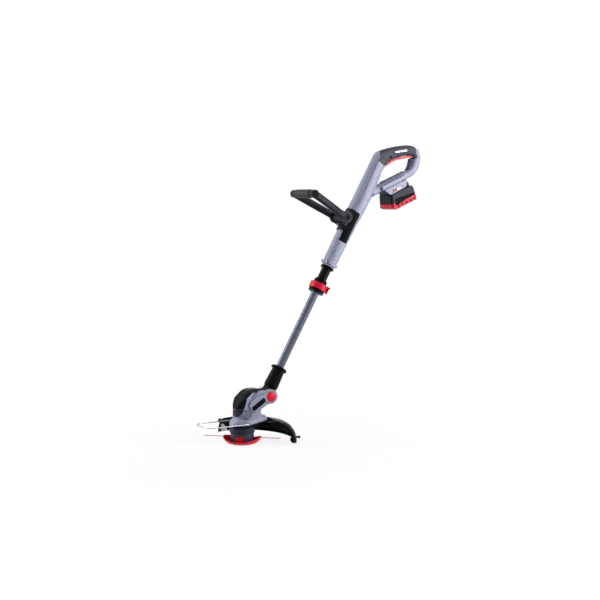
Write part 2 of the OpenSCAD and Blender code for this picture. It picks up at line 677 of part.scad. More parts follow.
bearing_r = 8;
module motor_can() color(steel) difference() {
    union() {
        translate([0, 0, motor_lo]) cylinder(r = motor_r, h = motor_len);
        translate([0, 0, motor_lo - 4]) cylinder(r = 9.5, h = motor_len + 7);
    }
    translate([0, 0, motor_lo - 5]) cylinder(r = bearing_r, h = 7);
    translate([0, 0, motor_lo + motor_len - 4]) cylinder(r = bearing_r, h = 7);
    cylinder(r = 3.2, h = 400);
    for (a = [0:60:300]) rotate(a) translate([motor_r - 5, -3, motor_lo + motor_len - 2]) cube([9, 6, 5]);
}
module motor_bearings() color(steel) for (z = [motor_lo - 4, motor_lo + motor_len - 4])
    translate([0, 0, z]) tube(bearing_r - 0.02, shaft_r + fit_gap, 5);

collar_lo = 37;
collar_hi = 56;
collar_out = 41;
module head_collar() color(charcoal) difference() {
    rotate_extrude() polygon([[12, 48], [12, collar_hi], [collar_out, collar_hi], [collar_out, 52],
        [collar_out - 1.6, 51], [collar_out - 1.6, 49.5], [collar_out, 48.5], [collar_out, collar_lo + 1],
        [collar_out - 1, collar_lo], [collar_out - 4.5, collar_lo], [collar_out - 4.5, 48]]);
    for (s = [-1, 1], a = guard_screw_at) translate([a[0], s * a[1], 40]) cylinder(r = 4, h = 30);
}

// ---- guard --------------------------------------------------------------------------------

guard_at = [20.5, -4.7];
near_edge = -42.6;
front_x = -10;
guard_r = cut_r + guard_room;
crown_r = 55.6;
crown_z = 15.4;
plate_slope = 12;
guard_screw_at = [[26, 18], [-26, 18]];
guard_screw_len = 17;
bead_r = 4.2;
post_lo = 24;
// Section of the guard: sloped plate, round shoulder, straight rim
module guard_half_2d(inset) {
    c = [guard_r - crown_r, crown_z];
    t = c + (crown_r - inset - join_depth) * [sin(plate_slope), cos(plate_slope)];
    polygon([[10, 0], [10, t[1] + (t[0] - 10) * tan(plate_slope + 0.9)], t, c, [c[0], 0]]);
    intersection() {
        translate(c) circle(crown_r - inset);
        translate([c[0], c[1]]) square([big, big]);
    }
    translate([c[0] - 0.1, -1]) square([crown_r - inset + 0.1, c[1] + 1.1]);
}
module guard_section() {
    difference() {
        guard_half_2d(0);
        guard_half_2d(guard_wall);
    }
}
// The rim's own plane: it drops towards the tool's left side
rim_tilt = 2.6;
module on_rim() translate([guard_at[0], guard_at[1], guard_rim_z]) rotate([rim_tilt, 0, 0]) children();
module guard_sector() linear_extrude(big) polygon([guard_at,
    guard_at + 250 * [cos(near_edge), sin(near_edge)], [260, 0], [260, 260], [front_x, 260], [front_x, 0]]);

// Where the plate beside the user stays below the base's tail
tail_cut = 12;
tail_tip = 88;
module guard() color(black) difference() {
    union() {
        intersection() {
            union() {
                difference() {
                    translate(guard_at) rotate([0, 0, near_edge - 6])
                        rotate_extrude(angle = 168, $fn = 96) guard_section();
                    on_rim() translate([-big, -big, -big]) cube([2 * big, 2 * big, big]);
                }
                on_rim() rotate_extrude($fn = 96) translate([guard_r - 3.4, bead_r / 2]) circle(bead_r);
                intersection() {
                    translate([0, 0, collar_hi + 0.3]) linear_extrude(40) egg(rim_r + 5.5, 30.5, 66);
                    translate(guard_at) rotate([0, 0, near_edge - 6]) rotate_extrude(angle = 168, $fn = 96)
                        guard_half_2d(guard_wall / 2);
                }
            }
            guard_sector();
        }
        translate([0, 0, collar_hi + 1.1]) linear_extrude(17) egg(rim_r + 0.3, 25.3, 66);
        // Thick rolled edge beside the user's foot
        translate(guard_at) rotate([0, 0, near_edge]) slab_xz(-0.6, 8) difference() {
            intersection() {
                guard_half_2d(-1.8);
                translate([40, guard_rim_z - 6]) square([big, big]);
            }
            guard_half_2d(guard_wall + 8);
        }
        translate([guard_at[0] + (guard_r - 7) * cos(near_edge), guard_at[1] + (guard_r - 7) * sin(near_edge),
            guard_rim_z + 5.5]) sphere(r = 9.5);
        // Post and foot beside the line cutter
        translate([front_x, cut_r + 1.6, post_lo]) cube([6, 7, 60 - post_lo]);
        translate([front_x - 3, cut_r + 1.6, post_lo - 3]) cube([12, 9, 4]);
        translate([front_x + 5, cut_r + 14, 54]) sphere(r = 7.5);
        translate([guard_at[0] + 146.5 * cos(near_edge), guard_at[1] + 146.5 * sin(near_edge), 22])
            rotate([0, 90, near_edge]) {
                translate([-3, 3, 6]) cylinder(r = 3.2, h = 16);
                translate([-3, 3, 22]) sphere(r = 4.4);
            }
    }
    on_skirt(-0.3) linear_extrude(big) egg(rim_r + 2.5, 27.5, 66);
    on_skirt(-0.3) slab_xz(-big, -tail_cut) polygon([[-big, 0], [tail_tip, 0], [tail_tip + 22, 14],
        [tail_tip + 22, big], [-big, big]]);
    translate([0, 0, 40]) cylinder(r = 12, h = 40);
    for (s = [-1, 1], a = guard_screw_at) translate([a[0], s * a[1], 40]) cylinder(r = bore_r, h = 40);
    translate([0, 0, wire_z]) cross_bar(8, 60);
    // Slot that the far arm of the wire swings up into
    translate([front_x - 1, wire_half - 3.2, wire_z - 2]) cube([7 - front_x, 6.4, 40]);
}
module guard_screws() color(steel) for (s = [-1, 1], a = guard_screw_at)
    translate([a[0], s * a[1], collar_hi + 0.3]) rotate([180, 0, 0]) screw(guard_screw_len);
module line_cutter() color(steel) difference() {
    translate([front_x + 1, cut_r + 0.15, post_lo - 3]) cube([26, 1.4, 24]);
    translate([front_x + 27, cut_r - 1, post_lo - 3]) rotate([0, -35, 0]) cube([30, 4, 60]);
}

// Sprung wire that keeps the line off plants; its ends turn into the base
wire_corner = 28;
wire_bend = 7;
module wire_guard() color(steel) translate([0, 0, wire_z]) {
    both_sides() {
        translate([0, -wire_half + wire_bend, 0]) rotate([90, 0, 0])
            translate([0, 0, -wire_half + wire_bend + 34])
                cylinder(r = wire_r, h = wire_half - wire_bend - 34);
        translate([-wire_bend, -wire_half + wire_bend, 0]) rotate([0, 0, -90])
            rotate_extrude(angle = 90) translate([wire_bend, 0]) circle(wire_r, $fn = 24);
        translate([-wire_reach + wire_corner, -wire_half, 0]) rotate([0, 90, 0])
            cylinder(r = wire_r, h = wire_reach - wire_corner - wire_bend);
        translate([-wire_reach + wire_corner, -wire_half + wire_corner, 0]) rotate([0, 0, 180])
            rotate_extrude(angle = 90) translate([wire_corner, 0]) circle(wire_r, $fn = 24);
    }
    translate([-wire_reach, 0, 0]) cross_bar(wire_r, wire_half - wire_corner);
}

// ---- tilt button --------------------------------------------------------------------------

dome_r = 70;
module tilt_button() color(red) pivot_axis() {
    intersection() {
        translate([0, 0, trunnion_half + 5.2]) cylinder(r = tilt_button_r, h = 12);
        translate([0, 0, yoke_face + 2 - dome_r]) sphere(r = dome_r, $fn = 128);
    }
    translate([0, 0, trunnion_half - 8]) cylinder(r = 2.5, h = 14);
}
module tilt_spring() color(steel) pivot_axis() translate([0, 0, trunnion_half - 12.7])
    coil(4, 0.5, 17.6, 5);

// ---- spindle ------------------------------------------------------------------------------

shaft_r = 2.5;
spool_lo = 5.4;
module motor_shaft() color(steel) {
    translate([0, 0, 22]) cylinder(r = shaft_r, h = motor_lo + motor_len + 4 - 22);
    translate([0, 0, motor_lo + 8]) cylinder(r = 3, h = motor_len - 18);
}
tab_w = 28;
module spool_frame() rotate([0, 0, spool_turn]) children();
module spool_housing() color(charcoal) spool_frame() difference() {
    union() {
        translate([0, 0, spool_lo]) cylinder(r = spool_r, h = collar_lo - 0.6 - spool_lo);
        translate([0, 0, collar_lo - 1]) cylinder(r = 30, h = 9);
    }
    translate([0, 0, spool_lo - 1]) difference() {
        cylinder(r = spool_r - 2.5, h = collar_lo - 4 - spool_lo + 1);
        cylinder(r = 9, h = 60);
    }
    translate([0, 0, spool_lo - 1]) cylinder(r = 6, h = 14);
    cylinder(r = shaft_r + 0.02, h = 60);
    for (s = [0, 180]) rotate([0, 0, s]) {
        translate([-tab_w / 2 - 0.8, -spool_r - 2, 0]) cube([tab_w + 1.6, 8, 28.5]);
        translate([spool_r - 4, -4, 14]) cube([8, 8, 10]);
    }
}
horn_r = 115;
horn_z = 24.5;
dish_r = 31;
dish_flat = 33;
module spool_cap() color(red) spool_frame() difference() {
    union() {
        intersection() {
            rotate_extrude($fn = 96) {
                square([dish_flat, 3]);
                intersection() {
                    difference() {
                        translate([dish_flat, dish_r]) circle(dish_r);
                        translate([dish_flat, dish_r]) circle(dish_r - 3);
                    }
                    translate([dish_flat - 0.1, 0]) square([cap_r - dish_flat, dish_r]);
                }
            }
            translate([0, 0, horn_z - horn_r]) rotate([0, 90, 0])
                cylinder(r = horn_r, h = 3 * cap_r, center = true, $fn = 160);
        }
        for (s = [-1, 1]) intersection() {
            translate([-tab_w / 2, s > 0 ? 0 : -big, 3.4]) cube([tab_w, big, 24]);
            difference() {
                translate([0, 0, 0]) cylinder(r = spool_r + 0.3, h = 60);
                cylinder(r = spool_r - 2.3, h = 60);
                for (z = [8:4.5:24]) translate([0, 0, z]) tube(spool_r + 5, spool_r - 0.7, 1.4);
            }
        }
        for (s = [-1, 1]) translate([-tab_w / 2, s > 0 ? spool_r - 2.3 : -spool_r - 0.2, 2.5])
            cube([tab_w, 2.5, 2]);
        cylinder(r = 5.6, h = 8);
    }
    for (s = [0, 180]) rotate([0, 0, s]) translate([30, 0, line_z]) rotate([0, 90, 0])
        cylinder(r = line_r + 0.15, h = 50);
}
line_z = 21.5;
module line_spool() color(black) difference() {
    rotate_extrude() polygon([[9.3, 9], [34.5, 9], [34.5, 11], [15, 11], [15, 29], [34.5, 29],
        [34.5, 31], [9.3, 31]]);
}
module spool_spring() color(steel) translate([0, 0, 3.1]) coil(11, 0.8, 5.8, 2);
module cutting_lines() color(red) spool_frame() for (s = [0, 180]) rotate([0, 0, s]) {
    translate([29, 0, line_z]) rotate([0, 90, 0]) cylinder(r = line_r, h = cut_r - 29, $fn = 24);
}

// ---- second handle ------------------------------------------------------------------------

hub_r = 21;
hub_in = 27;
hub_out = 41;
leg_out = aux_half - 10.6;
function full_ring(c, a, b, square = 2.8, sides = 16) = [for (i = [0:sides - 1]) let (f = 360 * i / sides)
    [c[0], c[1] - b * power(sin(f), 2 / square), c[2] + a * power(cos(f), 2 / square)]];
module aux_leg() skin([full_ring([12, -(hub_in + hub_out) / 2, 0], 13.5, 6.8),
    full_ring([30, -(hub_in + hub_out) / 2 - 2, 1], 12.5, 6.8),
    full_ring([80, -47, 0.5], 12.5, 7.5), full_ring([aux_reach - 18, -leg_out + 1, 0], 12.8, 8.5),
    full_ring([aux_reach - 4, -leg_out, 0], 13, 9)]);
module aux_frame() color(charcoal) aux_frame_at() difference() {
    both_sides() {
        translate([0, -hub_in, 0]) rotate([90, 0, 0]) cylinder(r = hub_r, h = hub_out - hub_in - 2);
        translate([0, -hub_in, 0]) rotate([90, 0, 0]) cylinder(r = 14.5, h = hub_out - hub_in);
        aux_leg();
        translate([aux_reach, -aux_half + 1.5, 0]) rotate([-90, 0, 0]) cylinder(r = 13, h = 24);
    }
    cross_bar(bolt_r + fit_gap, big);
    both_sides() translate([0, -hub_out + 2, 0]) rotate([90, 0, 0]) cylinder(r = 9.3, h = 30);
    translate([aux_reach, 0, 0]) cross_bar(7.05, big);
}
module aux_grip() color(black) aux_frame_at() translate([aux_reach, 0, 0]) {
    cross_bar(aux_bar_r, aux_half - 26);
    cross_bar(7, aux_half - 8);
}
module aux_end_caps() color(black) aux_frame_at() both_sides()
    translate([aux_reach, -aux_half + 1.4, 0]) rotate([90, 0, 0]) {
        cylinder(r = 12.5, h = 1.4);
        translate([0, 0, -6]) cylinder(r = 6.9, h = 7);
    }
bolt_r = 3;
module handle_bolt() color(black) aux_frame_at() {
    cross_bar(bolt_r, hub_out - 1.9);
    both_sides() difference() {
        translate([0, -hub_out + 2 - 0.05, 0]) rotate([90, 0, 0]) cylinder(r = 9, h = 3.2);
        translate([0, -hub_out - 0.2, 0]) rotate([90, 0, 0]) cylinder(r = 4.6, h = 5, $fn = 6);
    }
}
bracket_len = 80;
module handle_bracket() color(charcoal) difference() {
    union() {
        cowl(cowl_r + 4, hinge_t - bracket_len / 2, hinge_t + bracket_len / 2);
        shaft(hinge_t) translate([-hinge_out, 0, 0]) cross_bar(17, hub_in - 0.3);
        shaft(hinge_t) translate([-hinge_out + 2, -hub_in + 3, -24]) cube([20, 2 * hub_in - 6, 48]);
    }
    cowl(cowl_r + 0.02, hinge_t - 60, hinge_t + 60);
    grip_frame() both_sides() half_bar(stem_path);
    shaft(hinge_t - 60) translate([crease_x - 0.02, -60, 0]) cube([60, 120, 120]);
    shaft(hinge_t) translate([-hinge_out, 0, 0]) cross_bar(bolt_r + 0.02, big);
}

// ---- battery ------------------------------------------------------------------------------

corner = 9;
module pack_2d(w, l) {
    translate([corner, -w / 2 + corner]) circle(corner);
    translate([corner, w / 2 - corner]) circle(corner);
    translate([l - corner, -w / 2 + corner]) circle(corner);
    translate([l - corner, w / 2 - corner]) circle(corner);
    translate([0, -w / 2 + corner]) square([l, w - 2 * corner]);
    translate([corner, -w / 2]) square([l - 2 * corner, w]);
}
// The front face leans forward towards the base
pack_rake = 17;
pack_front = -15.5;
pack_side = [[1, -1], [battery_len - 7, -1], [battery_len, 11], [battery_len, battery_h - 14],
    [battery_len - 8, battery_h], [-20, battery_h], [-20, 22], [-10.5, 20], [-9, 9]];
module pack_form() intersection() {
    rotate([0, pack_rake, 0]) translate([pack_front, 0, 0]) translate([0, 0, -90])
        linear_extrude(180) pack_2d(battery_w, 1.5 * battery_len);
    translate([-20, 0, 0]) linear_extrude(battery_h) pack_2d(battery_w, battery_len + 20);
    slab_xz(-big, big) polygon(pack_side);
}
cell_pitch = 2 * cell_r + 0.3;
cell_wall = 4.6;
cell_half = 32.5;
module cell_room(extra) for (k = [0:4])
    translate([battery_len - cell_wall - cell_r - k * cell_pitch, 0, 14 + cell_r])
        cross_bar(cell_r + extra, cell_half + extra);
module battery_case() color(charcoal) battery_frame() difference() {
    union() {
        intersection() {
            pack_form();
            translate([-20, -big, base_h]) cube([big, 2 * big, big]);
        }
        translate([rail_start + 1, -rail_half, battery_h - 0.1]) cube([82, 2 * rail_half, rail_h + 0.1]);
        for (s = [-1, 1]) translate([rail_start + 1, s * (rail_half - 2) - 4, battery_h + 5])
            cube([70, 8, 4.8]);
    }
    cell_room(0.2);
    for (y = terminal_y) translate([rail_start, y - 0.8, battery_h + 3]) cube([14, 1.6, 8]);
    translate([battery_len - 12, -14.3, battery_h - 18]) cube([20, 28.6, 14.6]);
}
module battery_base() color(red) battery_frame() difference() {
    intersection() {
        pack_form();
        translate([-20, -big, 0]) cube([big, 2 * big, base_h - 0.05]);
    }
    cell_room(0.2);
    for (s = [-1, 1], k = [0:4]) translate([14 + 18 * k, s * battery_w / 2, -1])
        cylinder(r = 3, h = base_h - 10);
    for (k = [-2:2]) translate([-6.5, 13 * k, -1]) cylinder(r = 2.4, h = base_h - 2);
}
module battery_cells() color([0.2, 0.45, 0.7]) battery_frame() cell_room(0);
module battery_contacts() color(brass) battery_frame() for (y = terminal_y, s = [-1, 1])
    translate([rail_start + 3, y + s * 0.55 - (s < 0 ? 0.2 : 0), battery_h + 3.1]) cube([10, 0.2, 7]);
module battery_latch() color(black) battery_frame() difference() {
    translate([battery_len - 6.5, -14, battery_h - 17.7]) cube([6, 28, 14]);
    for (k = [0:3]) translate([battery_len - 1, -12, battery_h - 15.5 + 3 * k]) cube([2, 24, 1.2]);
}

housing_left();
housing_right();
grip_cover_left();
grip_cover_right();
grip_inlays();
loop_liner();
bridge_pad();
battery_dock();
dock_terminals();
trigger_switch();
trigger_pin();
control_board();
housing_screws();
outer_tube();
tube_flange();
clamp_collar();
clamp_pin();
handle_bracket();
handle_bolt();
trigger();
trigger_spring();
lock_button();
aux_frame();
aux_grip();
aux_end_caps();
battery_case();
battery_base();
battery_cells();
battery_contacts();
battery_latch();
clamp_lever();
inner_tube();
tube_bush();
neck_left();
neck_right();
neck_screws();
head_left();
head_right();
head_cap();
head_chin();
side_caps();
head_screws();
motor_can();
motor_bearings();
head_collar();
guard();
guard_screws();
line_cutter();
tilt_button();
tilt_spring();
nose_button();
wire_guard();
motor_shaft();
spool_housing();
spool_cap();
line_spool();
spool_spring();
cutting_lines();
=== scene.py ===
"""Cordless string trimmer, dressed for the studio.

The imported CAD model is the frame. Every CAD node gets a procedural finish, and
some also have their gentle angles rounded. The thin plates, labels and marks
are parametric surfaces cast onto the nodes under them.
"""
from dataclasses import dataclass
from enum import Enum
import logging
import math
from typing import Sequence

import bpy
import numpy as np
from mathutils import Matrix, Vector
from mathutils.bvhtree import BVHTree


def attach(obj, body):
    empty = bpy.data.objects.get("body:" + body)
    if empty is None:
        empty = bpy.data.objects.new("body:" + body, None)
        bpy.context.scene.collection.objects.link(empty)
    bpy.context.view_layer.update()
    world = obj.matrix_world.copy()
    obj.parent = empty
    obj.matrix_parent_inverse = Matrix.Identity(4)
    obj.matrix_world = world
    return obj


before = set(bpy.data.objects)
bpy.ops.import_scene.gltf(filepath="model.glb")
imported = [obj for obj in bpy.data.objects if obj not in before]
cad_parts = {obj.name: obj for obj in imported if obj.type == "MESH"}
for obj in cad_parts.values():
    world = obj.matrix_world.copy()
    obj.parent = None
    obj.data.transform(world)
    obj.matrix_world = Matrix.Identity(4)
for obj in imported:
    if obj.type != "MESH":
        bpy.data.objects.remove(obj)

logging.basicConfig(level=logging.INFO, format="%(name)s: %(message)s")
log = logging.getLogger("trimmer")

MM = 0.001
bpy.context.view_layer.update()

# The camera stands 4.1 m away on the tool's left, turned 32 degrees towards its head
CAMERA_AT = Vector((-1.9352, -3.4534, 0.7949))
CAMERA_TURN = math.radians(-32.0)
CAMERA_PITCH = math.radians(4.7)
CAMERA_LENS = 73.56
CAMERA_REACH = 200.0
SENSOR = 36.0

# The lights face one point. Each stands so far to its right, in front of it and above it,
# and has a size in metres and a power in watts.
LIGHT_AIM = Vector((0.33, 0.0, 0.55))
LIGHTS = (("key", 2.3, 0.6, 0.5, (0.9, 2.6), 84),
          ("rim", -2.2, -0.1, 0.7, (0.6, 2.6), 56),
          ("top", -0.5, 0.5, 2.4, (1.6, 1.2), 20))
WHITE = (1.0, 1.0, 1.0, 1.0)
SKY_TINT = (0.93, 0.95, 1.0, 1.0)
SKY_STRENGTH = 0.09

# The floor, in metres, and the share of its shadow that is hidden near the tool
FLOOR_HALF = 40.0
FLOOR_POINTS = 9
FLOOR_DROP = 0.0006
FLOOR_TINT = (0.88, 0.88, 0.9, 1.0)
SHADOW_REACH = 0.8
SHADOW_HIDDEN = 0.86

# Local frames of the tool's members, in millimetres
SHAFT_FOOT = Vector((91.7, 0.0, 150.6))
SHAFT_AXIS = Vector((0.5, 0.0, 0.8660254))
SHAFT_BACK = Vector((0.8660254, 0.0, -0.5))
PACK_AT = Vector((589.0, 0.0, 759.0))
PACK_X = Vector((0.92388, 0.0, 0.38268))
PACK_Z = Vector((-0.38268, 0.0, 0.92388))
NEAR = Vector((0.0, -1.0, 0.0))

# The surface that all finishes share. Scales are in cycles per metre.
CLOUD_SCALE = 14.0
SHEEN_SCALE = 90.0
# The noise that breaks up the painted highlight on rounded edges
HIGHLIGHT_NOISE_SCALE = 220.0
NOISE_SPAN = (0.3, 0.7)
PIT_SHADE = (0.90, 1.05)
DEPTH_GAIN = 25.0
EDGE_TURN = 0.86
# How much the painted highlight on rounded edges lightens the colour
EDGE_HIGHLIGHT_GAIN = 1.55
SHEEN_SWING = 0.05
BUMP_HEIGHT = 0.0004
COAT_ROUGH = 0.12
PEBBLE_REACH = 0.8

# Corners closer than this, in metres, are joined
WELD_REACH = 2e-6

# The stem keeps its edges up to here, up the shaft and back from it, in millimetres
STEM_TOP = (884.0, 880.0)
STEM_REAR = (34.0, 30.0)
STEM_MIDDLE = 4.0

# The groove fades in and out along the stem, and falls and rises again across it
GROOVE_START = (690.0, 730.0)
GROOVE_END = (908.0, 868.0)
GROOVE_FRONT = (-22.5, -18.0)
GROOVE_REAR = (-2.0, -16.5)

# How far a plate's plane may lie off the skin, and the fit of a smooth plate
CAST_MM = 30.0
FIT_SCALE_U = 60.0
FIT_SCALE_V = 20.0
FIT_RINGS = 8
EDGE_DEGREES = (0, 22, 45, 68, 90)


def linear(*levels: int) -> tuple[float, ...]:
    """Turns a screen colour into the linear one that shaders take.

    The screen's curve is a straight line near black and a power above it.

    Args:
        *levels: The red, green and blue levels, 0 to 255.

    Returns:
        The linear red, green, blue and an alpha of 1.
    """
    shares = [level / 255.0 for level in levels]
    return (*(share / 12.92 if share <= 0.04045 else ((share + 0.055) / 1.055) ** 2.4
              for share in shares), 1.0)


class Grain(Enum):
    """What the surface of a finish looks like close up."""

    SPARK = "spark eroded plastic"
    PEBBLE = "pebbled soft touch"
    SMOOTH = "polished plastic"
    BRUSHED = "brushed along Z"
    TURNED = "turned metal"
    FOAM = "closed cell foam"
    FIBRE = "glass fibre board"


class Zone(Enum):
    """Where the second finish of a two-tone piece shows."""

    GRIP = "the soft cover round the grip, with its chevron front and slanting rear"
    PACK_FRONT = "the battery's front face"


# The grip's soft zone lies to the left of each of these lines, in the grip's x and z
GRIP_AT = (516.7, 886.7)
GRIP_LINES = (((23.3, 73.1), (12.5, 38.4)), ((12.5, 38.4), (34.1, 23.2)),
              ((34.1, 23.2), (176.0, 50.0)), ((180.5, 53.0), (172.0, 86.0)))
ZONE_BLUR_MM = 0.15
PACK_FRONT_FACING = (0.55, 0.6)


@dataclass(frozen=True)
class Finish:
    """One finish: its two screen colours, its gloss and its grain."""

    name: str
    tint: tuple[int, int, int]
    shade: tuple[int, int, int]
    rough: float
    grain: Grain = Grain.SPARK
    metal: float = 0.0
    coat: float = 0.0
    grain_mm: float = 0.5
    depth: float = 0.12
    edge_mm: float = 0.7
    # The strength of the painted highlight on the finish's rounded edges
    wear: float = 0.25
    gloss: float = 0.35
    ior: float = 1.45


@dataclass(frozen=True)
class Rounding:
    """How the rounding modifier treats a CAD node.

    Edges that bend by more than crisp_deg stay crisp, faces are subdivided
    level times, and groove_mm is the depth of the stem's side grooves.
    """

    crisp_deg: float
    level: int
    groove_mm: float = 0.0


FINISHES: dict[str, Finish] = {f.name: f for f in (
    Finish("housing", (146, 149, 171), (136, 139, 161), 0.38, depth=0.04, edge_mm=1.2),
    Finish("housing_head", (140, 143, 165), (130, 133, 155), 0.38, depth=0.04, edge_mm=1.0),
    Finish("charcoal", (46, 48, 62), (38, 40, 52), 0.42, depth=0.06, edge_mm=0.9, gloss=0.5,
           ior=1.2),
    Finish("cap_grey", (104, 108, 124), (92, 96, 112), 0.42, depth=0.05, edge_mm=0.6),
    Finish("pad_grey", (92, 95, 112), (80, 83, 100), 0.5, depth=0.1, edge_mm=0.5),
    Finish("spool_grey", (58, 61, 76), (48, 51, 64), 0.34, edge_mm=0.8, gloss=0.5, ior=1.3),
    Finish("soft_touch", (46, 48, 62), (36, 38, 50), 0.55, Grain.PEBBLE, grain_mm=1.1, depth=0.3,
           edge_mm=1.2, wear=0.15),
    Finish("black", (13, 13, 17), (9, 9, 12), 0.38, depth=0.06, edge_mm=0.8, gloss=0.5, ior=1.12),
    Finish("handle_black", (27, 28, 37), (21, 22, 30), 0.36, depth=0.06, edge_mm=0.9, gloss=0.5,
           ior=1.2),
    Finish("guard_black", (13, 13, 17), (9, 9, 12), 0.34, grain_mm=0.7, depth=0.05, edge_mm=1.2,
           gloss=0.5, ior=1.12),
    Finish("piano_black", (9, 9, 13), (7, 7, 10), 0.2, Grain.SMOOTH, depth=0.01, edge_mm=1.0,
           wear=0.05, gloss=0.5, ior=1.14),
    Finish("bead_black", (13, 13, 17), (9, 9, 12), 0.24, Grain.SMOOTH, depth=0.0, edge_mm=0.3,
           wear=0.0, gloss=0.5),
    Finish("foam", (14, 14, 19), (9, 9, 13), 0.6, Grain.FOAM, grain_mm=0.8, depth=0.35, wear=0.1),
    Finish("crimson", (214, 14, 50), (196, 10, 42), 0.34, edge_mm=0.9, wear=0.2, gloss=0.25),
    Finish("crimson_deep", (196, 10, 42), (172, 6, 34), 0.38, edge_mm=0.7, wear=0.15, gloss=0.2),
    Finish("lamp_red", (160, 0, 30), (140, 0, 24), 0.3, Grain.SMOOTH, depth=0.0, edge_mm=0.3,
           wear=0.0, gloss=0.2),
    Finish("line_red", (226, 44, 78), (196, 28, 60), 0.28, Grain.SMOOTH, depth=0.05),
    Finish("tube_silver", (84, 88, 105), (76, 80, 97), 0.27, Grain.SMOOTH, metal=0.35, grain_mm=0.8,
           depth=0.0, wear=0.0, gloss=0.5),
    Finish("trim_silver", (178, 182, 200), (164, 168, 188), 0.3, Grain.BRUSHED, metal=0.5,
           grain_mm=0.3, depth=0.05, edge_mm=0.4),
    Finish("steel", (196, 198, 205), (170, 172, 180), 0.24, Grain.TURNED, metal=1.0, grain_mm=0.3,
           depth=0.06, edge_mm=0.3),
    Finish("brass", (214, 178, 104), (184, 146, 76), 0.26, Grain.TURNED, metal=1.0, grain_mm=0.3,
           depth=0.05, edge_mm=0.3),
    Finish("board", (30, 96, 62), (20, 74, 46), 0.45, Grain.FIBRE, grain_mm=0.6, depth=0.08),
    Finish("cell_wrap", (60, 104, 160), (46, 86, 140), 0.32, Grain.SMOOTH, coat=0.2, depth=0.03),
    Finish("label_black", (13, 13, 17), (10, 10, 13), 0.42, Grain.SMOOTH, depth=0.01, edge_mm=0.3,
           wear=0.05, gloss=0.5, ior=1.1),
    Finish("lamp_white", (232, 233, 240), (222, 223, 232), 0.25, Grain.SMOOTH, coat=0.3, depth=0.01,
           edge_mm=0.3),
)}

NODE_FINISH: dict[str, str] = {node: finish for finish, nodes in {
    "housing": "housing_left housing_right",
    "housing_head": "head_left head_right",
    "cap_grey": "side_caps",
    "pad_grey": "bridge_pad",
    "soft_touch": "grip_cover_left grip_cover_right",
    "charcoal": "loop_liner battery_dock head_chin battery_case head_collar",
    "handle_black": "handle_bracket aux_frame",
    "spool_grey": "spool_housing",
    "black": "tube_flange clamp_collar neck_left neck_right aux_end_caps handle_bolt "
             "lock_button battery_latch tube_bush line_spool trigger_switch",
    "guard_black": "guard",
    "piano_black": "outer_tube head_cap",
    "foam": "aux_grip",
    "crimson": "trigger clamp_lever tilt_button nose_button spool_cap",
    "crimson_deep": "battery_base",
    "line_red": "cutting_lines",
    "tube_silver": "inner_tube",
    "trim_silver": "grip_inlays",
    "steel": "housing_screws neck_screws head_screws guard_screws trigger_pin trigger_spring "
             "clamp_pin motor_can motor_bearings line_cutter tilt_spring wire_guard "
             "motor_shaft spool_spring",
    "brass": "dock_terminals battery_contacts",
    "board": "control_board",
    "cell_wrap": "battery_cells",
}.items() for node in nodes.split()}

# Pieces in two finishes: the first, the second, and where the second one shows
TWO_TONE: dict[str, tuple[str, str, Zone]] = {
    **{node: ("housing", "soft_touch", Zone.GRIP)
       for node in ("housing_left", "housing_right", "grip_cover_left", "grip_cover_right")},
    "battery_case": ("charcoal", "black", Zone.PACK_FRONT),
}

# CAD nodes whose gentle angles are rounded or shaded smooth
ROUNDING: dict[str, Rounding] = {node: how for how, nodes in {
    Rounding(34.0, 2, 2.2): "housing_left housing_right",
    Rounding(34.0, 2): "grip_cover_left grip_cover_right loop_liner trigger aux_frame",
    Rounding(34.0, 0): "aux_grip handle_bracket tube_flange guard spool_cap wire_guard",
    Rounding(24.0, 0): "head_left head_right neck_left neck_right battery_base side_caps",
}.items() for node in nodes.split()}


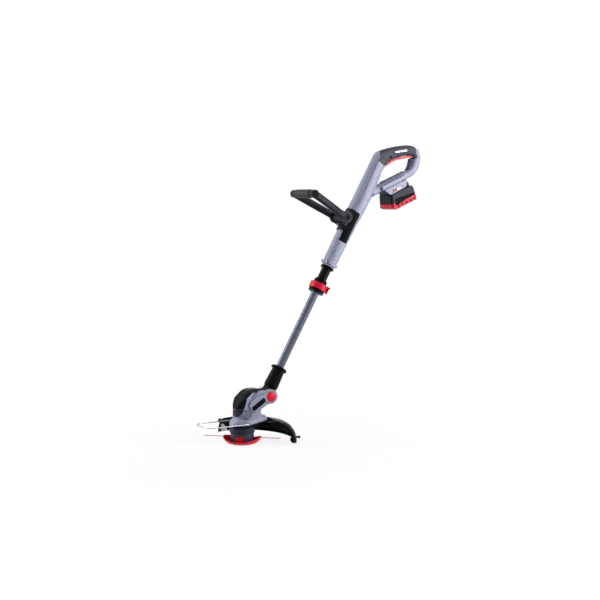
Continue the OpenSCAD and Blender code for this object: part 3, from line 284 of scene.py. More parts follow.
class NodeTree:
    """Builds the node trees of shaders and modifiers."""

    def __init__(self, tree: bpy.types.NodeTree) -> None:
        """Keeps the tree that nodes are added to."""
        self.tree = tree

    def add(self, kind: str, **inputs: object) -> bpy.types.Node:
        """Adds one node and fills its inputs.

        Args:
            kind: The node's class, where a shader's may leave out its ShaderNode prefix.
            **inputs: Properties of the node, and inputs by name with _ for a space or by
                number as in i0.

        Returns:
            The new node.
        """
        node = self.tree.nodes.new(kind if "Node" in kind else "ShaderNode" + kind)
        for key, value in inputs.items():
            if hasattr(node, key) and key not in node.inputs:
                setattr(node, key, value)
                continue
            numbered = key[0] == "i" and key[1:].isdigit()
            socket = node.inputs[int(key[1:]) if numbered else key.replace("_", " ")]
            if isinstance(value, bpy.types.NodeSocket):
                self.tree.links.new(value, socket)
            else:
                socket.default_value = value
        return node

    def link(self, source: bpy.types.NodeSocket, target: bpy.types.NodeSocket) -> None:
        """Joins an output to an input."""
        self.tree.links.new(source, target)

    def math(self, operation: str, *values: object, clamp: bool = False) -> bpy.types.NodeSocket:
        """Adds a math node on numbers or sockets, and returns its result's socket."""
        given = {f"i{k}": value for k, value in enumerate(values)}
        return self.add("Math", operation=operation, use_clamp=clamp, **given).outputs[0]

    def vector(self, operation: str, *values: object) -> bpy.types.NodeSocket:
        """Adds a vector math node on vectors or sockets, and returns its result's socket."""
        given = {f"i{k}": value for k, value in enumerate(values)}
        return self.add("VectorMath", operation=operation, **given).outputs[0]

    def scaled(self, vector: object, by: bpy.types.NodeSocket) -> bpy.types.NodeSocket:
        """Adds a vector times a number, and returns the socket of the result."""
        return self.add("VectorMath", operation="SCALE", i0=vector, Scale=by).outputs[0]

    def dot(self, first: object, second: object) -> bpy.types.NodeSocket:
        """Adds the dot product of two vectors, and returns the socket of the result."""
        return self.add("VectorMath", operation="DOT_PRODUCT", i0=first,
                        i1=second).outputs["Value"]

    def mix(self, share: bpy.types.NodeSocket, first: object, second: object,
            blend: str = "MIX") -> bpy.types.NodeSocket:
        """Adds a mix of two colours by the share of the second, and returns its socket."""
        return self.add("MixRGB", blend_type=blend, i0=share, i1=first, i2=second).outputs[0]

    def ramp(self, value: bpy.types.NodeSocket, low: object, high: object, start: float = 0.0,
             end: float = 1.0, curve: str = "LINEAR") -> bpy.types.NodeSocket:
        """Adds a ramp from start at low to end at high, and returns its socket."""
        return self.add("MapRange", interpolation_type=curve, i0=value, i1=low, i2=high,
                        i3=start, i4=end).outputs[0]

    def step(self, value: bpy.types.NodeSocket, low: float, high: float) -> bpy.types.NodeSocket:
        """Adds a smooth step from 0 at low to 1 at high, and returns its socket."""
        return self.ramp(value, low, high, curve="SMOOTHSTEP")

    def noise(self, place: bpy.types.NodeSocket, scale: float, detail: float,
              **more: float) -> bpy.types.NodeSocket:
        """Adds a noise with its scale in cycles per metre, and returns its socket."""
        return self.add("TexNoise", Vector=place, Scale=scale, Detail=detail,
                        **more).outputs["Fac"]

    def seen(self) -> bpy.types.NodeSocket:
        """Adds a mask of the camera's rays and of reflections, and returns its socket."""
        path = self.add("LightPath").outputs
        return self.math("MAXIMUM", path["Is Camera Ray"], path["Is Glossy Ray"])


def add_sockets(group: bpy.types.NodeTree, given: Sequence[tuple[str, str]],
                made: Sequence[tuple[str, str]]) -> None:
    """Adds the sockets of a node group.

    Args:
        group: The group.
        given: The name and the kind of each input.
        made: The name and the kind of each output.
    """
    for way, rows in (("INPUT", given), ("OUTPUT", made)):
        for name, kind in rows:
            group.interface.new_socket(name, in_out=way, socket_type="NodeSocket" + kind)


def surface_group() -> bpy.types.NodeTree:
    """Builds the group that all finishes share.

    It mixes two tints by a slow noise, darkens fine pits, paints a highlight on
    rounded edges, broken up by noise, and turns the grain's height into a
    normal on softened edges.

    Returns:
        The node group.
    """
    group = bpy.data.node_groups.new("SurfaceSkin", "ShaderNodeTree")
    add_sockets(group, [(name, "Color") for name in ("Tint", "Shade")] +
                [(name, "Float") for name in ("Height", "Rough", "Depth", "Edge", "Wear")],
                [("Color", "Color"), ("Roughness", "Float"), ("Normal", "Vector")])
    t = NodeTree(group)
    given = group.nodes.new("NodeGroupInput").outputs
    place = t.add("TexCoord").outputs["Object"]
    spread = t.ramp(t.noise(place, CLOUD_SCALE, 4.0, Roughness=0.55), *NOISE_SPAN)
    base = t.mix(spread, given["Shade"], given["Tint"])
    pits = t.ramp(given["Height"], 0.0, 1.0, *PIT_SHADE)
    deep = t.math("MULTIPLY", given["Depth"], DEPTH_GAIN, clamp=True)
    pitted = t.mix(deep, base, pits, "MULTIPLY")
    soft = t.add("Bevel", samples=6, Radius=given["Edge"]).outputs[0]
    turn = t.dot(soft, t.add("NewGeometry").outputs["Normal"])
    # Painted highlight: rounded edges are lightened where light would catch them, broken up by
    # noise
    highlight_mask = t.math("MULTIPLY", t.ramp(turn, 1.0, EDGE_TURN), t.noise(place, HIGHLIGHT_NOISE_SCALE, 3.0))
    highlight_colour = t.add("HueSaturation", Value=EDGE_HIGHLIGHT_GAIN, Color=pitted).outputs[0]
    highlighted = t.mix(t.math("MULTIPLY", highlight_mask, given["Wear"]), pitted, highlight_colour)
    bump = t.add("Bump", Strength=given["Depth"], Distance=BUMP_HEIGHT, Height=given["Height"],
                 Normal=soft).outputs[0]
    swing = t.ramp(t.noise(place, SHEEN_SCALE, 5.0), *NOISE_SPAN, -SHEEN_SWING, SHEEN_SWING)
    swing = t.math("MULTIPLY", swing, deep)
    rough = t.math("ADD", given["Rough"], swing, clamp=True)
    out = group.nodes.new("NodeGroupOutput").inputs
    for name, socket in (("Color", highlighted), ("Roughness", rough), ("Normal", bump)):
        t.link(socket, out[name])
    return group


def soft_group() -> bpy.types.NodeTree:
    """Builds the modifier group that rounds gentle angles.

    Corners that lie together are joined and the stored normals are dropped.
    The faces are then subdivided with full creases on the edges that bend by
    more than the given angle, and only those edges are shaded crisp. The
    straight stem keeps all its edges, and a groove runs along both sides of
    its front: points move towards the stem's axis by the groove's depth times
    a smooth step down and a longer smooth step up again.

    Returns:
        The geometry node group.
    """
    group = bpy.data.node_groups.new("SoftShade", "GeometryNodeTree")
    add_sockets(group, [("Geometry", "Geometry"), ("Angle", "Float"), ("Level", "Int"),
                        ("Groove", "Float")], [("Geometry", "Geometry")])
    t = NodeTree(group)
    given = group.nodes.new("NodeGroupInput").outputs
    place = t.add("GeometryNodeInputPosition").outputs[0]
    rel = t.vector("SUBTRACT", place, SHAFT_FOOT * MM)
    back, up = t.dot(rel, SHAFT_BACK / MM), t.dot(rel, SHAFT_AXIS / MM)

    bend = t.add("GeometryNodeInputMeshEdgeAngle").outputs["Unsigned Angle"]
    sharp = t.add("FunctionNodeCompare", A=bend, B=given["Angle"]).outputs["Result"]
    stem = t.math("MULTIPLY", t.step(up, *STEM_TOP), t.step(back, *STEM_REAR))
    held = t.math("MAXIMUM", sharp, t.math("GREATER_THAN", stem, 0.5))
    mesh = t.add("GeometryNodeMergeByDistance", Geometry=given["Geometry"],
                 Distance=WELD_REACH).outputs[0]
    mesh = t.add("GeometryNodeRemoveAttribute", Geometry=mesh, Name="custom_normal").outputs[0]
    mesh = t.add("GeometryNodeSetShadeSmooth", i0=mesh, Shade_Smooth=True).outputs[0]
    mesh = t.add("GeometryNodeSetShadeSmooth", domain="EDGE", i0=mesh, Selection=sharp,
                 Shade_Smooth=False).outputs[0]
    mesh = t.add("GeometryNodeSubdivisionSurface", Mesh=mesh, Level=given["Level"],
                 Edge_Crease=held).outputs[0]

    run = t.math("MULTIPLY", t.step(up, *GROOVE_START), t.step(up, *GROOVE_END))
    dip = t.math("MULTIPLY", t.step(back, *GROOVE_FRONT), t.step(back, *GROOVE_REAR))
    depth = t.math("MULTIPLY", t.math("MULTIPLY", run, dip), given["Groove"])
    spread = t.scaled(SHAFT_BACK * MM, t.math("SUBTRACT", back, STEM_MIDDLE))
    across = t.add("CombineXYZ", i1=t.add("SeparateXYZ", i0=place).outputs[1]).outputs[0]
    outward = t.vector("NORMALIZE", t.vector("ADD", spread, across))
    shift = t.scaled(outward, t.math("MULTIPLY", depth, -MM))
    moved = t.add("GeometryNodeSetPosition", Geometry=mesh, Offset=shift).outputs[0]
    t.link(moved, group.nodes.new("NodeGroupOutput").inputs["Geometry"])
    return group


def soften(obj: bpy.types.Object, group: bpy.types.NodeTree, how: Rounding) -> None:
    """Puts the rounding modifier on an object.

    Args:
        obj: The object.
        group: The modifier's node group.
        how: What stays crisp, how fine the faces get and how deep the groove is.
    """
    mod = obj.modifiers.new("soft", "NODES")
    mod.node_group = group
    given = {s.name: s.identifier for s in group.interface.items_tree if s.in_out == "INPUT"}
    mod[given["Angle"]] = math.radians(how.crisp_deg)
    mod[given["Level"]] = how.level
    mod[given["Groove"]] = how.groove_mm


class Workshop:
    """Makes one material for each finish and hands it out."""

    def __init__(self) -> None:
        """Builds the shared surface group and starts with no materials."""
        self.skin = surface_group()
        self.made: dict[str, bpy.types.Material] = {}

    def height(self, t: NodeTree, finish: Finish) -> bpy.types.NodeSocket:
        """Adds the grain's height.

        Args:
            t: The material's tree.
            finish: The finish that the grain belongs to.

        Returns:
            The socket that gives the height, 0 to 1.
        """
        place = t.add("TexCoord").outputs["Object"]
        pitch = 1.0 / (finish.grain_mm * MM)
        if finish.grain is Grain.PEBBLE:
            cells = t.add("TexVoronoi", Vector=place, Scale=pitch, feature="SMOOTH_F1",
                          Smoothness=0.5)
            return t.ramp(cells.outputs["Distance"], 0.0, PEBBLE_REACH, 1.0, 0.0)
        if finish.grain is Grain.FOAM:
            return t.add("TexVoronoi", Vector=place, Scale=pitch).outputs["Distance"]
        if finish.grain in (Grain.BRUSHED, Grain.TURNED):
            squash = (1.0, 1.0, 0.02) if finish.grain is Grain.BRUSHED else (0.05, 0.05, 1.0)
            lines = t.add("Mapping", Vector=place, Scale=squash).outputs[0]
            return t.noise(lines, pitch, 2.0)
        if finish.grain is Grain.FIBRE:
            wave = t.add("TexWave", Vector=place, Scale=pitch * 0.4, Distortion=1.5)
            return wave.outputs["Fac"]
        return t.noise(place, pitch, 3.0, Roughness=0.6)

    def zone(self, t: NodeTree, zone: Zone) -> bpy.types.NodeSocket:
        """Adds the mask of a zone.

        The grip's mask is the product of half planes, each a signed distance
        to a line. The battery's comes from which way its faces look.

        Args:
            t: The material's tree.
            zone: The zone.

        Returns:
            The socket that gives 1 inside the zone and 0 outside.
        """
        coord = t.add("TexCoord").outputs
        if zone is Zone.PACK_FRONT:
            return t.ramp(t.dot(coord["Normal"], tuple(-PACK_X)), *PACK_FRONT_FACING)
        mask = None
        for start, end in GRIP_LINES:
            dx, dz = end[0] - start[0], end[1] - start[1]
            span = math.hypot(dx, dz)
            nx, nz = -dz / span, dx / span
            offset = -nx * (GRIP_AT[0] + start[0]) - nz * (GRIP_AT[1] + start[1])
            along = t.dot(coord["Object"], (nx / MM, 0.0, nz / MM))
            side = t.ramp(along, -offset - ZONE_BLUR_MM, -offset + ZONE_BLUR_MM)
            mask = side if mask is None else t.math("MULTIPLY", mask, side)
        return mask

    def material(self, name: str) -> bpy.types.Material:
        """Gives the material of a finish, and builds it the first time.

        Args:
            name: The finish's name, or "first+second@ZONE" for a two-tone piece.

        Returns:
            The material.
        """
        if name in self.made:
            return self.made[name]
        first, _, rest = name.partition("+")
        second, _, zone = rest.partition("@")
        finish = FINISHES[first]
        material = bpy.data.materials.new("finish_" + name)
        material.use_nodes = True
        material.node_tree.nodes.clear()
        t = NodeTree(material.node_tree)
        skin = t.add("Group", node_tree=self.skin, Edge=finish.edge_mm * MM, Wear=finish.wear,
                     Tint=linear(*finish.tint), Shade=linear(*finish.shade),
                     Rough=finish.rough, Depth=finish.depth)
        height = self.height(t, finish)
        if second:
            other = FINISHES[second]
            mask = self.zone(t, Zone[zone])
            for key, mine, theirs in (("Tint", finish.tint, other.tint),
                                      ("Shade", finish.shade, other.shade)):
                t.link(t.mix(mask, linear(*mine), linear(*theirs)), skin.inputs[key])
            for key, mine, theirs in (("Rough", finish.rough, other.rough),
                                      ("Depth", finish.depth, other.depth)):
                t.link(t.ramp(mask, 0.0, 1.0, mine, theirs), skin.inputs[key])
            height = t.mix(mask, height, self.height(t, other))
        t.link(height, skin.inputs["Height"])
        shader = t.add("BsdfPrincipled", Base_Color=skin.outputs["Color"],
                       Roughness=skin.outputs["Roughness"], Normal=skin.outputs["Normal"],
                       Metallic=finish.metal, Specular_IOR_Level=finish.gloss,
                       IOR=finish.ior, Coat_Weight=finish.coat, Coat_Roughness=COAT_ROUGH)
        t.link(shader.outputs[0], t.add("OutputMaterial").inputs[0])
        self.made[name] = material
        return material

    def dress(self, obj: bpy.types.Object, name: str) -> None:
        """Puts a finish on every slot of an object.

        Args:
            obj: The object.
            name: The finish's name.
        """
        material = self.material(name)
        if not obj.material_slots:
            obj.data.materials.append(material)
        for slot in obj.material_slots:
            slot.material = material


class Skin:
    """The outer surface of some CAD nodes, which plates are cast onto."""

    def __init__(self, *nodes: str) -> None:
        """Joins the nodes' meshes into one tree that rays can be cast at.

        Args:
            *nodes: The nodes' names.
        """
        points: list[Vector] = []
        faces: list[list[int]] = []
        for node in nodes:
            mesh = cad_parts[node].data
            base = len(points)
            points += [v.co.copy() for v in mesh.vertices]
            faces += [[base + i for i in p.vertices] for p in mesh.polygons]
        self.tree = BVHTree.FromPolygons(points, faces)

    def cast(self, start: Vector, way: Vector, reach: float) -> float | None:
        """Gives the distance to the surface along a ray, or None where it meets nothing."""
        return self.tree.ray_cast(start, way, reach)[3]


def build_mesh(name: str, points: np.ndarray, faces: Sequence[Sequence[int]],
               smooth: bool = True) -> bpy.types.Object:
    """Makes an object from arrays.

    Args:
        name: The piece's name.
        points: An array of N by 3 points in metres, in the row frame.
        faces: The indices of each face's corners. One that is repeated counts once.
        smooth: Whether its faces are shaded smooth.

    Returns:
        The object, linked to the scene.
    """
    mesh = bpy.data.meshes.new(name)
    rows = [list(dict.fromkeys(int(i) for i in row)) for row in faces]
    mesh.from_pydata([tuple(p) for p in points], [], rows)
    mesh.polygons.foreach_set("use_smooth", [smooth] * len(rows))
    mesh.update()
    obj = bpy.data.objects.new(name, mesh)
    bpy.context.scene.collection.objects.link(obj)
    return obj


def ring_faces(rings: int, count: int) -> list[list[int]]:
    """Joins each ring of points to the next with four-sided faces.

    Args:
        rings: How many rings there are, one after the other in the list of points.
        count: The points in each ring.

    Returns:
        The indices of each face's corners.
    """
    return [[k * count + i, k * count + (i + 1) % count,
             (k + 1) * count + (i + 1) % count, (k + 1) * count + i]
            for k in range(rings - 1) for i in range(count)]


def box_corners(left: float, right: float, low: float, high: float) -> list[tuple[float, float]]:
    """Lists the corners of an upright rectangle, anticlockwise from its lower left."""
    return [(left, low), (right, low), (right, high), (left, high)]


def rounded_outline(corners: Sequence[tuple[float, float]], radii: Sequence[float],
                    arc: int = 10, straight: int = 12) -> np.ndarray:
    """Rounds the corners of a convex polygon, going round it anticlockwise.

    Each corner becomes an arc of its own radius between the points where the
    circle touches the two sides, and each side is divided evenly.

    Args:
        corners: The polygon's corners.
        radii: One radius for each corner.
        arc: Points on each corner.
        straight: Points on each side.

    Returns:
        An array of N by 2 points.
    """
    ring: list[np.ndarray] = []
    arcs: list[np.ndarray] = []
    count = len(corners)
    for i in range(count):
        here = np.array(corners[i], float)
        back = np.array(corners[i - 1], float) - here
        ahead = np.array(corners[(i + 1) % count], float) - here
        back /= np.linalg.norm(back)
        ahead /= np.linalg.norm(ahead)
        half = math.acos(float(np.clip(back @ ahead, -1, 1))) / 2
        middle = here + (back + ahead) / np.linalg.norm(back + ahead) * radii[i] / math.sin(half)
        start = here + back * radii[i] / math.tan(half) - middle
        end = here + ahead * radii[i] / math.tan(half) - middle
        a0 = math.atan2(start[1], start[0])
        turn = (math.atan2(end[1], end[0]) - a0 + math.pi) % (2 * math.pi) - math.pi
        angles = a0 + turn * np.linspace(0, 1, arc)
        arcs.append(middle + radii[i] * np.stack([np.cos(angles), np.sin(angles)], 1))
    for i in range(count):
        ring += list(arcs[i])
        a, b = arcs[i][-1], arcs[(i + 1) % count][0]
        ring += [a + (b - a) * k / straight for k in range(1, straight)]
    return np.array(ring)


def sweep(name: str, line: np.ndarray, radii: np.ndarray, across: np.ndarray,
          sides: int = 32) -> bpy.types.Object:
    """Runs a round section of changing radius along a line.

    Each ring stands square to the line and is spanned by the direction across
    and by the line's direction turned through that, and both ends are closed.

    Args:
        name: The piece's name.
        line: An array of N by 3 points in millimetres.
        radii: The section's radius at each point.
        across: A direction that is never along the line.
        sides: Points round the section.

    Returns:
        The object.
    """
    run = np.gradient(line, axis=0)
    run /= np.linalg.norm(run, axis=1, keepdims=True)
    side = np.cross(run, across)
    side /= np.linalg.norm(side, axis=1, keepdims=True)
    other = np.cross(side, run)
    angles = np.linspace(0, 2 * math.pi, sides, endpoint=False)
    rings = [line[k] + radii[k] * (np.outer(np.cos(angles), side[k]) +
                                   np.outer(np.sin(angles), other[k]))
             for k in range(len(line))]
    points = np.concatenate(rings) * MM
    faces = ring_faces(len(line), sides)
    faces += [list(range(sides))[::-1], [len(points) - sides + i for i in range(sides)]]
    return build_mesh(name, points, faces)


@dataclass
class Plate:
    """A thin moulded plate or label that follows the surface under it.

    The outline is drawn on a plane with axes u and v at a centre. Rings of the
    outline shrink to its middle, each point is cast along the plane's normal
    onto the skin, and the rings then rise by a rounded edge profile. With
    smooth above 0, one fitted surface stands in for the skin.
    """

    name: str
    body: str
    skin: Skin
    finish: str
    centre: Vector
    u: Vector
    v: Vector
    outline: np.ndarray
    thick_mm: float = 0.5
    round_mm: float = 0.4
    sink_mm: float = 0.4
    slot: str = "black_plastic"
    inner: int = 10
    smooth: int = 0
    fit: np.ndarray | None = None
    lift: float = 0.0

    def even(self, grid: np.ndarray, normal: Vector) -> None:
        """Fits one smooth surface over the skin, proud of it everywhere.

        The skin's distance below the plane is sampled, a polynomial in u and v
        is fitted to it, and the fit is lifted by its largest shortfall.

        Args:
            grid: The plane's points to sample.
            normal: The plane's normal.
        """
        rows, depths = [], []
        for p in grid:
            flat = self.centre + self.u * float(p[0]) + self.v * float(p[1])
            met = self.skin.cast((flat + normal * CAST_MM) * MM, -normal, 2 * CAST_MM * MM)
            if met is not None:
                rows.append(self.terms(p))
                depths.append(met / MM - CAST_MM)
        table, target = np.array(rows), np.array(depths)
        self.fit = np.linalg.lstsq(table, target, rcond=None)[0]
        gap = target - table @ self.fit
        self.lift = float(-gap.min())
        self.sink_mm += self.lift + float(gap.max())

    def terms(self, p: np.ndarray) -> list[float]:
        """Gives the products of the powers of both axes at a point, in millimetres."""
        return [(float(p[0]) / FIT_SCALE_U) ** i * (float(p[1]) / FIT_SCALE_V) ** j
                for i in range(3) for j in range(self.smooth + 1 if i == 0 else 2)]

    def rings(self) -> list[tuple[float, float]]:
        """Lists each ring's inset and height, from the foot up over the rounded edge."""
        rise = [(self.round_mm * (1 - math.cos(a)),
                 self.thick_mm - self.round_mm * (1 - math.sin(a)))
                for a in map(math.radians, EDGE_DEGREES)]
        return [(0.0, -self.sink_mm)] + rise

    def make(self, shop: Workshop) -> bpy.types.Object:
        """Builds the plate and puts it on its body.

        Args:
            shop: Where its finish comes from.

        Returns:
            The piece.
        """
        normal = self.u.cross(self.v).normalized()
        ring = self.outline
        middle = ring.mean(0)
        size = np.linalg.norm(ring - middle, axis=1).mean()
        if self.smooth and self.fit is None:
            inner = [middle + (ring - middle) * k / FIT_RINGS for k in range(1, FIT_RINGS + 1)]
            self.even(np.concatenate(inner), normal)
        layers = [(1 - inset / size, height) for inset, height in self.rings()]
        last = layers[-1][0]
        layers += [(last * (1 - (k + 1) / (self.inner + 1)), self.thick_mm)
                   for k in range(self.inner)]
        points: list[tuple] = []
        for share, height in layers:
            for p in middle + (ring - middle) * share:
                points.append(self.placed(p, height, normal))
        points.append(self.placed(middle, self.thick_mm, normal))
        n = len(ring)
        faces = ring_faces(len(layers), n)
        top = (len(layers) - 1) * n
        faces += [[top + i, top + (i + 1) % n, len(points) - 1] for i in range(n)]
        faces.append(list(range(n - 1, -1, -1)))
        obj = build_mesh(self.name, np.array(points), faces)
        shop.dress(obj, self.finish)
        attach(obj, self.body)
        return obj

    def placed(self, p: np.ndarray, height: float, normal: Vector) -> tuple:
        """Casts one point of the plane onto the skin.

        Args:
            p: The point on the plane, in millimetres.
            height: How far above the skin it ends, in millimetres.
            normal: The plane's normal.

        Returns:
            The point in metres, in the row frame.
        """
        flat = (self.centre + self.u * float(p[0]) + self.v * float(p[1])) * MM
        if self.smooth:
            below = float(np.dot(self.terms(p), self.fit)) - self.lift
            return tuple(flat + normal * (height - below) * MM)
        reach = CAST_MM * MM
        met = self.skin.cast(flat + normal * reach, -normal, 2 * reach)
        depth = reach if met is None else met
        return tuple(flat + normal * (reach - depth + height * MM))


class Studio:
    """The camera, the lights, the floor and the white surroundings."""

    def camera(self) -> None:
        """Stands the camera where the photographer stood."""
        data = bpy.data.cameras.new("camera")
        data.lens = CAMERA_LENS
        data.sensor_width = SENSOR
        data.clip_end = CAMERA_REACH
        eye = bpy.data.objects.new("camera", data)
        back = Vector((math.sin(CAMERA_TURN) * math.cos(CAMERA_PITCH),
                       -math.cos(CAMERA_TURN) * math.cos(CAMERA_PITCH), math.sin(CAMERA_PITCH)))
        eye.location = CAMERA_AT
        eye.rotation_euler = back.to_track_quat("Z", "Y").to_euler()
        bpy.context.scene.collection.objects.link(eye)
        bpy.context.scene.camera = eye

    def softbox(self, name: str, place: Vector, size: tuple[float, float],
                power: float) -> None:
        """Adds one large area light that faces the tool.

        Args:
            name: The light's name.
            place: Where it stands, in metres.
            size: Its width and height.
            power: Its power in watts.
        """
        data = bpy.data.lights.new(name, "AREA")
        data.shape = "RECTANGLE"
        data.size, data.size_y = size
        data.energy = power
        lamp = bpy.data.objects.new(name, data)
        lamp.location = place
        lamp.rotation_euler = (place - LIGHT_AIM).to_track_quat("Z", "Y").to_euler()
        bpy.context.scene.collection.objects.link(lamp)

    def lights(self) -> None:
        """Lights the tool from both sides and above, as a catalogue does."""
        right = Vector((math.cos(CAMERA_TURN), math.sin(CAMERA_TURN), 0.0))
        front = Vector((math.sin(CAMERA_TURN), -math.cos(CAMERA_TURN), 0.0))
        for name, across, ahead, above, size, power in LIGHTS:
            place = LIGHT_AIM + right * across + front * ahead + Vector((0, 0, above))
            self.softbox(name, place, size, power)

    def surroundings(self) -> None:
        """Makes the world white to the eye and in reflections, and soft grey as light."""
        world = bpy.data.worlds.new("studio")
        bpy.context.scene.world = world
        world.use_nodes = True
        world.node_tree.nodes.clear()
        t = NodeTree(world.node_tree)
        through = t.add("LightPath").outputs["Is Transmission Ray"]
        seen = t.math("MAXIMUM", t.seen(), through)
        soft = t.add("Background", Color=SKY_TINT, Strength=SKY_STRENGTH)
        white = t.add("Background", Color=WHITE, Strength=1.0)
        mixed = t.add("MixShader", i0=seen, i1=soft.outputs[0], i2=white.outputs[0])
        t.link(mixed.outputs[0], t.add("OutputWorld").inputs[0])

    def floor(self) -> None:
        """Lays a pale floor that keeps a soft shadow near the tool."""
        count = FLOOR_POINTS
        axis = np.linspace(-FLOOR_HALF, FLOOR_HALF, count)
        grid = np.array([(x, y, -FLOOR_DROP) for y in axis for x in axis])
        faces = [[r * count + c, r * count + c + 1, (r + 1) * count + c + 1, (r + 1) * count + c]
                 for r in range(count - 1) for c in range(count - 1)]
        ground = build_mesh("floor", grid, faces, smooth=False)
        material = bpy.data.materials.new("floor_pale")
        material.use_nodes = True
        material.node_tree.nodes.clear()
        t = NodeTree(material.node_tree)
        place = t.add("TexCoord").outputs["Object"]
        away = t.add("VectorMath", operation="LENGTH", i0=place).outputs["Value"]
        clear = t.ramp(away, 0.0, SHADOW_REACH, SHADOW_HIDDEN, 1.0)
        share = t.math("MULTIPLY", clear, t.seen())
        matt = t.add("BsdfDiffuse", Color=FLOOR_TINT)
        glow = t.add("Emission", Color=WHITE, Strength=1.0)
        mixed = t.add("MixShader", i0=share, i1=matt.outputs[0], i2=glow.outputs[0])
        t.link(mixed.outputs[0], t.add("OutputMaterial").inputs[0])
        ground.data.materials.append(material)

    def build(self) -> None:
        """Sets the whole studio up."""
        self.camera()
        self.lights()
        self.surroundings()
        self.floor()
        bpy.context.scene.view_settings.view_transform = "Standard"


@dataclass
class StemPlate:
    """The bare name plate on the near side of the stem."""

    low: float = 577.0
    high: float = 692.0
    front: float = -17.0
    back: float = 12.0
    corner: float = 2.5
    stand_off: float = 20.0

    def make(self, shop: Workshop) -> list[bpy.types.Object]:
        """Builds the plate.

        Args:
            shop: Where its finish comes from.

        Returns:
            The piece.
        """
        middle = SHAFT_FOOT + SHAFT_AXIS * ((self.low + self.high) / 2)
        half = (self.high - self.low) / 2
        corners = box_corners(-half, half, self.front, self.back)
        outline = rounded_outline(corners, [self.corner] * 4)[::-1, ::-1]
        return [Plate("stem_plate", "main_body", Skin("housing_left"), "label_black",
                      middle + NEAR * self.stand_off, SHAFT_BACK, SHAFT_AXIS, outline,
                      smooth=4).make(shop)]


@dataclass
class HeadPill:
    """The bare pill-shaped inset on the near side of the head's arm."""

    centre: tuple = (43.2, -36.0, 129.1)
    length: float = 56.0
    width: float = 16.4
    corner: float = 6.4
    rise_deg: float = 32.5
    bezel: float = 2.2

    def make(self, shop: Workshop) -> list[bpy.types.Object]:
        """Builds the light bezel and the dark pill in it.

        Args:
            shop: Where its finish comes from.

        Returns:
            The two pieces.
        """
        a = math.radians(self.rise_deg)
        u = Vector((math.cos(a), 0.0, math.sin(a)))
        v = Vector((-math.sin(a), 0.0, math.cos(a)))
        skin = Skin("head_left")
        pieces = []
        for name, grow, thick, finish, slot in (
                ("pill_bezel", self.bezel, 0.7, "housing_head", "housing_grey"),
                ("pill_plate", 0.0, 1.1, "label_black", "black_gloss")):
            x, y = self.length / 2 + grow, self.width / 2 + grow
            outline = rounded_outline(box_corners(-x, x, -y, y), [self.corner + grow] * 4)
            pieces.append(Plate(name, "motor_head", skin, finish, Vector(self.centre), u, v,
                                outline, thick_mm=thick, round_mm=0.5, slot=slot).make(shop))
        return pieces


@dataclass
class GuardBead:
    """The thick rounded lip on the guard's edge beside the user's foot.

    Its path is an arc about the crown's centre, followed by a short drop to
    the rim, in the upright plane through the guard's centre. A round section
    runs along it, thin at the start, and swells to a rounded foot at the end.
    """

    centre: tuple = (20.5, -4.7)
    turn_deg: float = -42.6
    arc_centre: tuple = (100.0, 15.4)
    arc_radius: float = 56.2
    start_deg: float = 92.0
    inset: float = 1.6
    thick: float = 4.7
    least: float = 0.01
    grown_by: float = 0.45
    growth: float = 0.7
    foot: float = 4.5
    foot_steps: int = 24
    foot_lean: float = 1.5
    foot_swell: float = 2.6
    foot_round: float = 0.55

    def path(self, steps: int = 64) -> list[tuple[float, float, float]]:
        """Lists the path as the distance out, the height and the section's radius.

        Args:
            steps: How many steps the arc has.

        Returns:
            The stations, from the thin end to the foot.
        """
        rows = []
        for k in range(steps + 1):
            share = k / steps
            a = math.radians(self.start_deg * (1 - share))
            grown = math.sin(min(share / self.grown_by, 1.0) * math.pi / 2) ** self.growth
            rows.append((self.arc_centre[0] + self.arc_radius * math.cos(a),
                         self.arc_centre[1] + self.arc_radius * math.sin(a),
                         max(self.thick * grown, self.least)))
        for k in range(1, self.foot_steps + 1):
            share = k / self.foot_steps
            swell = self.thick + self.foot_swell * math.sin(share * math.pi * 0.5) ** 2
            past = max(share - (1 - self.foot_round), 0) / self.foot_round
            close = math.sqrt(max(1 - past ** 2, 0.0))
            rows.append((self.arc_centre[0] + self.arc_radius - self.foot_lean * share,
                         self.arc_centre[1] - (self.arc_centre[1] - self.foot) * share,
                         max(swell * close, self.least)))
        return rows

    def make(self, shop: Workshop) -> list[bpy.types.Object]:
        """Builds the lip.

        Args:
            shop: Where its finish comes from.

        Returns:
            The piece.
        """
        a = math.radians(self.turn_deg)
        out = np.array([math.cos(a), math.sin(a), 0.0])
        across = np.array([-math.sin(a), math.cos(a), 0.0])
        rows = np.array(self.path())
        middle = np.array([self.centre[0], self.centre[1], 0.0]) + across * self.inset
        line = middle + rows[:, :1] * out + rows[:, 1:2] * np.array([0.0, 0.0, 1.0])
        obj = sweep("guard_bead", line, rows[:, 2], across)
        shop.dress(obj, "bead_black")
        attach(obj, "motor_head")
        return [obj]


@dataclass
class SpoolMarks:
    """The two small red squares beside the spool housing's windows."""

    first_deg: float = -185.0
    count: int = 2
    half: tuple = (2.8, 4.0)
    corner: float = 1.0
    height: float = 25.5
    stand_off: float = 45.0

    def make(self, shop: Workshop) -> list[bpy.types.Object]:
        """Builds the squares.

        Args:
            shop: Where their finish comes from.

        Returns:
            The pieces.
        """
        skin = Skin("spool_housing")
        x, y = self.half
        outline = rounded_outline(box_corners(-x, x, -y, y), [self.corner] * 4)
        up = Vector((0.0, 0.0, 1.0))
        pieces = []
        for k in range(self.count):
            a = math.radians(self.first_deg + k * 360 / self.count)
            out = Vector((math.cos(a), math.sin(a), 0.0))
            pieces.append(Plate(f"spool_mark_{k + 1}", "spindle", skin, "crimson_deep",
                                out * self.stand_off + up * self.height, up.cross(out), up,
                                outline, thick_mm=0.35, round_mm=0.2, slot="red_plastic",
                                inner=4).make(shop))
        return pieces


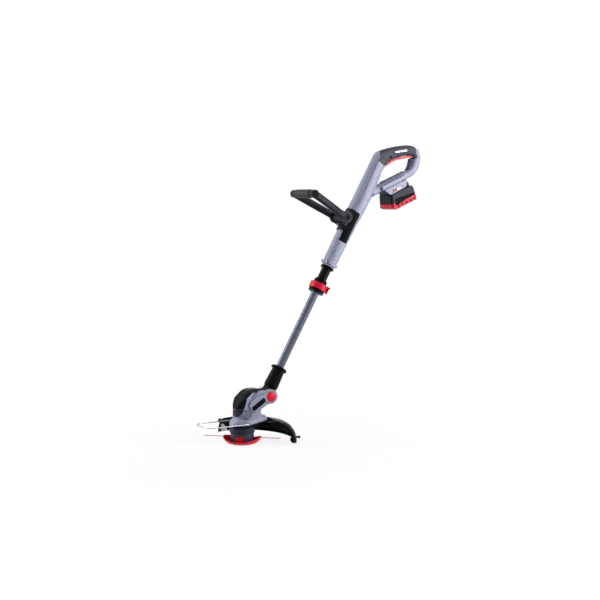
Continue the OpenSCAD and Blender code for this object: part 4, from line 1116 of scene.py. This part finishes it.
@dataclass
class PackLabels:
    """The battery's bare side label and the status lamp over it."""

    label: tuple = ((5.0, 12.3), (91.2, 9.4), (94.1, 26.1), (8.2, 36.2))
    label_corners: tuple = (2.5,) * 4
    wedge: tuple = ((7.4, 13.4), (89.6, 10.6), (90.4, 18.0), (46.0, 16.4))
    wedge_corners: tuple = (0.7, 0.7, 0.7, 3.0)
    side: float = 39.0
    lamp_centre: tuple = (33.7, 61.6)
    lamp_half: tuple = (17.5, 3.4)
    lamp_corner: float = 1.2
    lamp_side: float = 34.0
    lamp_rise_deg: float = -5.0

    def lamp(self, shop: Workshop) -> list[bpy.types.Object]:
        """Builds the lamp's red rim, its white field and its red half.

        Args:
            shop: Where its finishes come from.

        Returns:
            The three pieces.
        """
        a = math.radians(self.lamp_rise_deg)
        u = PACK_X * math.cos(a) + PACK_Z * math.sin(a)
        v = PACK_Z * math.cos(a) - PACK_X * math.sin(a)
        centre = (PACK_AT + PACK_X * self.lamp_centre[0] + PACK_Z * self.lamp_centre[1] +
                  NEAR * self.lamp_side)
        cheek = Skin("housing_left")
        x, y = self.lamp_half
        pieces = []
        for name, left, right, half, thick, finish, slot in (
                ("lamp_rim", -x, x, y, 0.3, "crimson", "red_plastic"),
                ("lamp_field", -x + 0.7, x - 0.7, y - 0.7, 0.4, "lamp_white", "bright_trim"),
                ("lamp_charge", -x + 0.3, -0.5, y - 0.3, 0.5, "lamp_red", "red_plastic")):
            outline = rounded_outline(box_corners(left, right, -half, half),
                                      [self.lamp_corner] * 4)
            pieces.append(Plate(name, "main_body", cheek, finish, centre, u, v, outline,
                                thick_mm=thick, round_mm=0.15, slot=slot, inner=4).make(shop))
        return pieces

    def make(self, shop: Workshop) -> list[bpy.types.Object]:
        """Builds the label, its red wedge and the lamp.

        The wedge follows the surface that was fitted for the label.

        Args:
            shop: Where its finishes come from.

        Returns:
            The pieces.
        """
        side = PACK_AT + NEAR * self.side
        case = Skin("battery_case", "battery_base")
        label = Plate("pack_label", "battery", case, "label_black", side, PACK_X, PACK_Z,
                      rounded_outline(self.label, self.label_corners), thick_mm=0.4,
                      round_mm=0.3, smooth=3)
        pieces = [label.make(shop)]
        wedge = Plate("pack_label_wedge", "battery", case, "crimson", side, PACK_X, PACK_Z,
                      rounded_outline(self.wedge, self.wedge_corners), thick_mm=0.6,
                      round_mm=0.15, sink_mm=0.5, slot="red_plastic", smooth=3,
                      fit=label.fit, lift=label.lift)
        return pieces + [wedge.make(shop)] + self.lamp(shop)


def dress_frame(shop: Workshop) -> None:
    """Gives every CAD node its finish, and rounds those that need it.

    Args:
        shop: Where the finishes come from.
    """
    soft = soft_group()
    for node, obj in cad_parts.items():
        if node in TWO_TONE:
            first, second, zone = TWO_TONE[node]
            finish = f"{first}+{second}@{zone.name}"
        else:
            finish = NODE_FINISH[node]
        shop.dress(obj, finish)
        if node in ROUNDING:
            soften(obj, soft, ROUNDING[node])
        log.info("node %s: %s", node, finish)


def main() -> None:
    """Builds the whole scene and reports each piece."""
    Studio().build()
    shop = Workshop()
    dress_frame(shop)
    for assembly in (StemPlate(), HeadPill(), PackLabels(), GuardBead(), SpoolMarks()):
        for piece in assembly.make(shop):
            log.info("%s: %s, %d faces", type(assembly).__name__, piece.name,
                     len(piece.data.polygons))


if __name__ == "__main__":
    main()
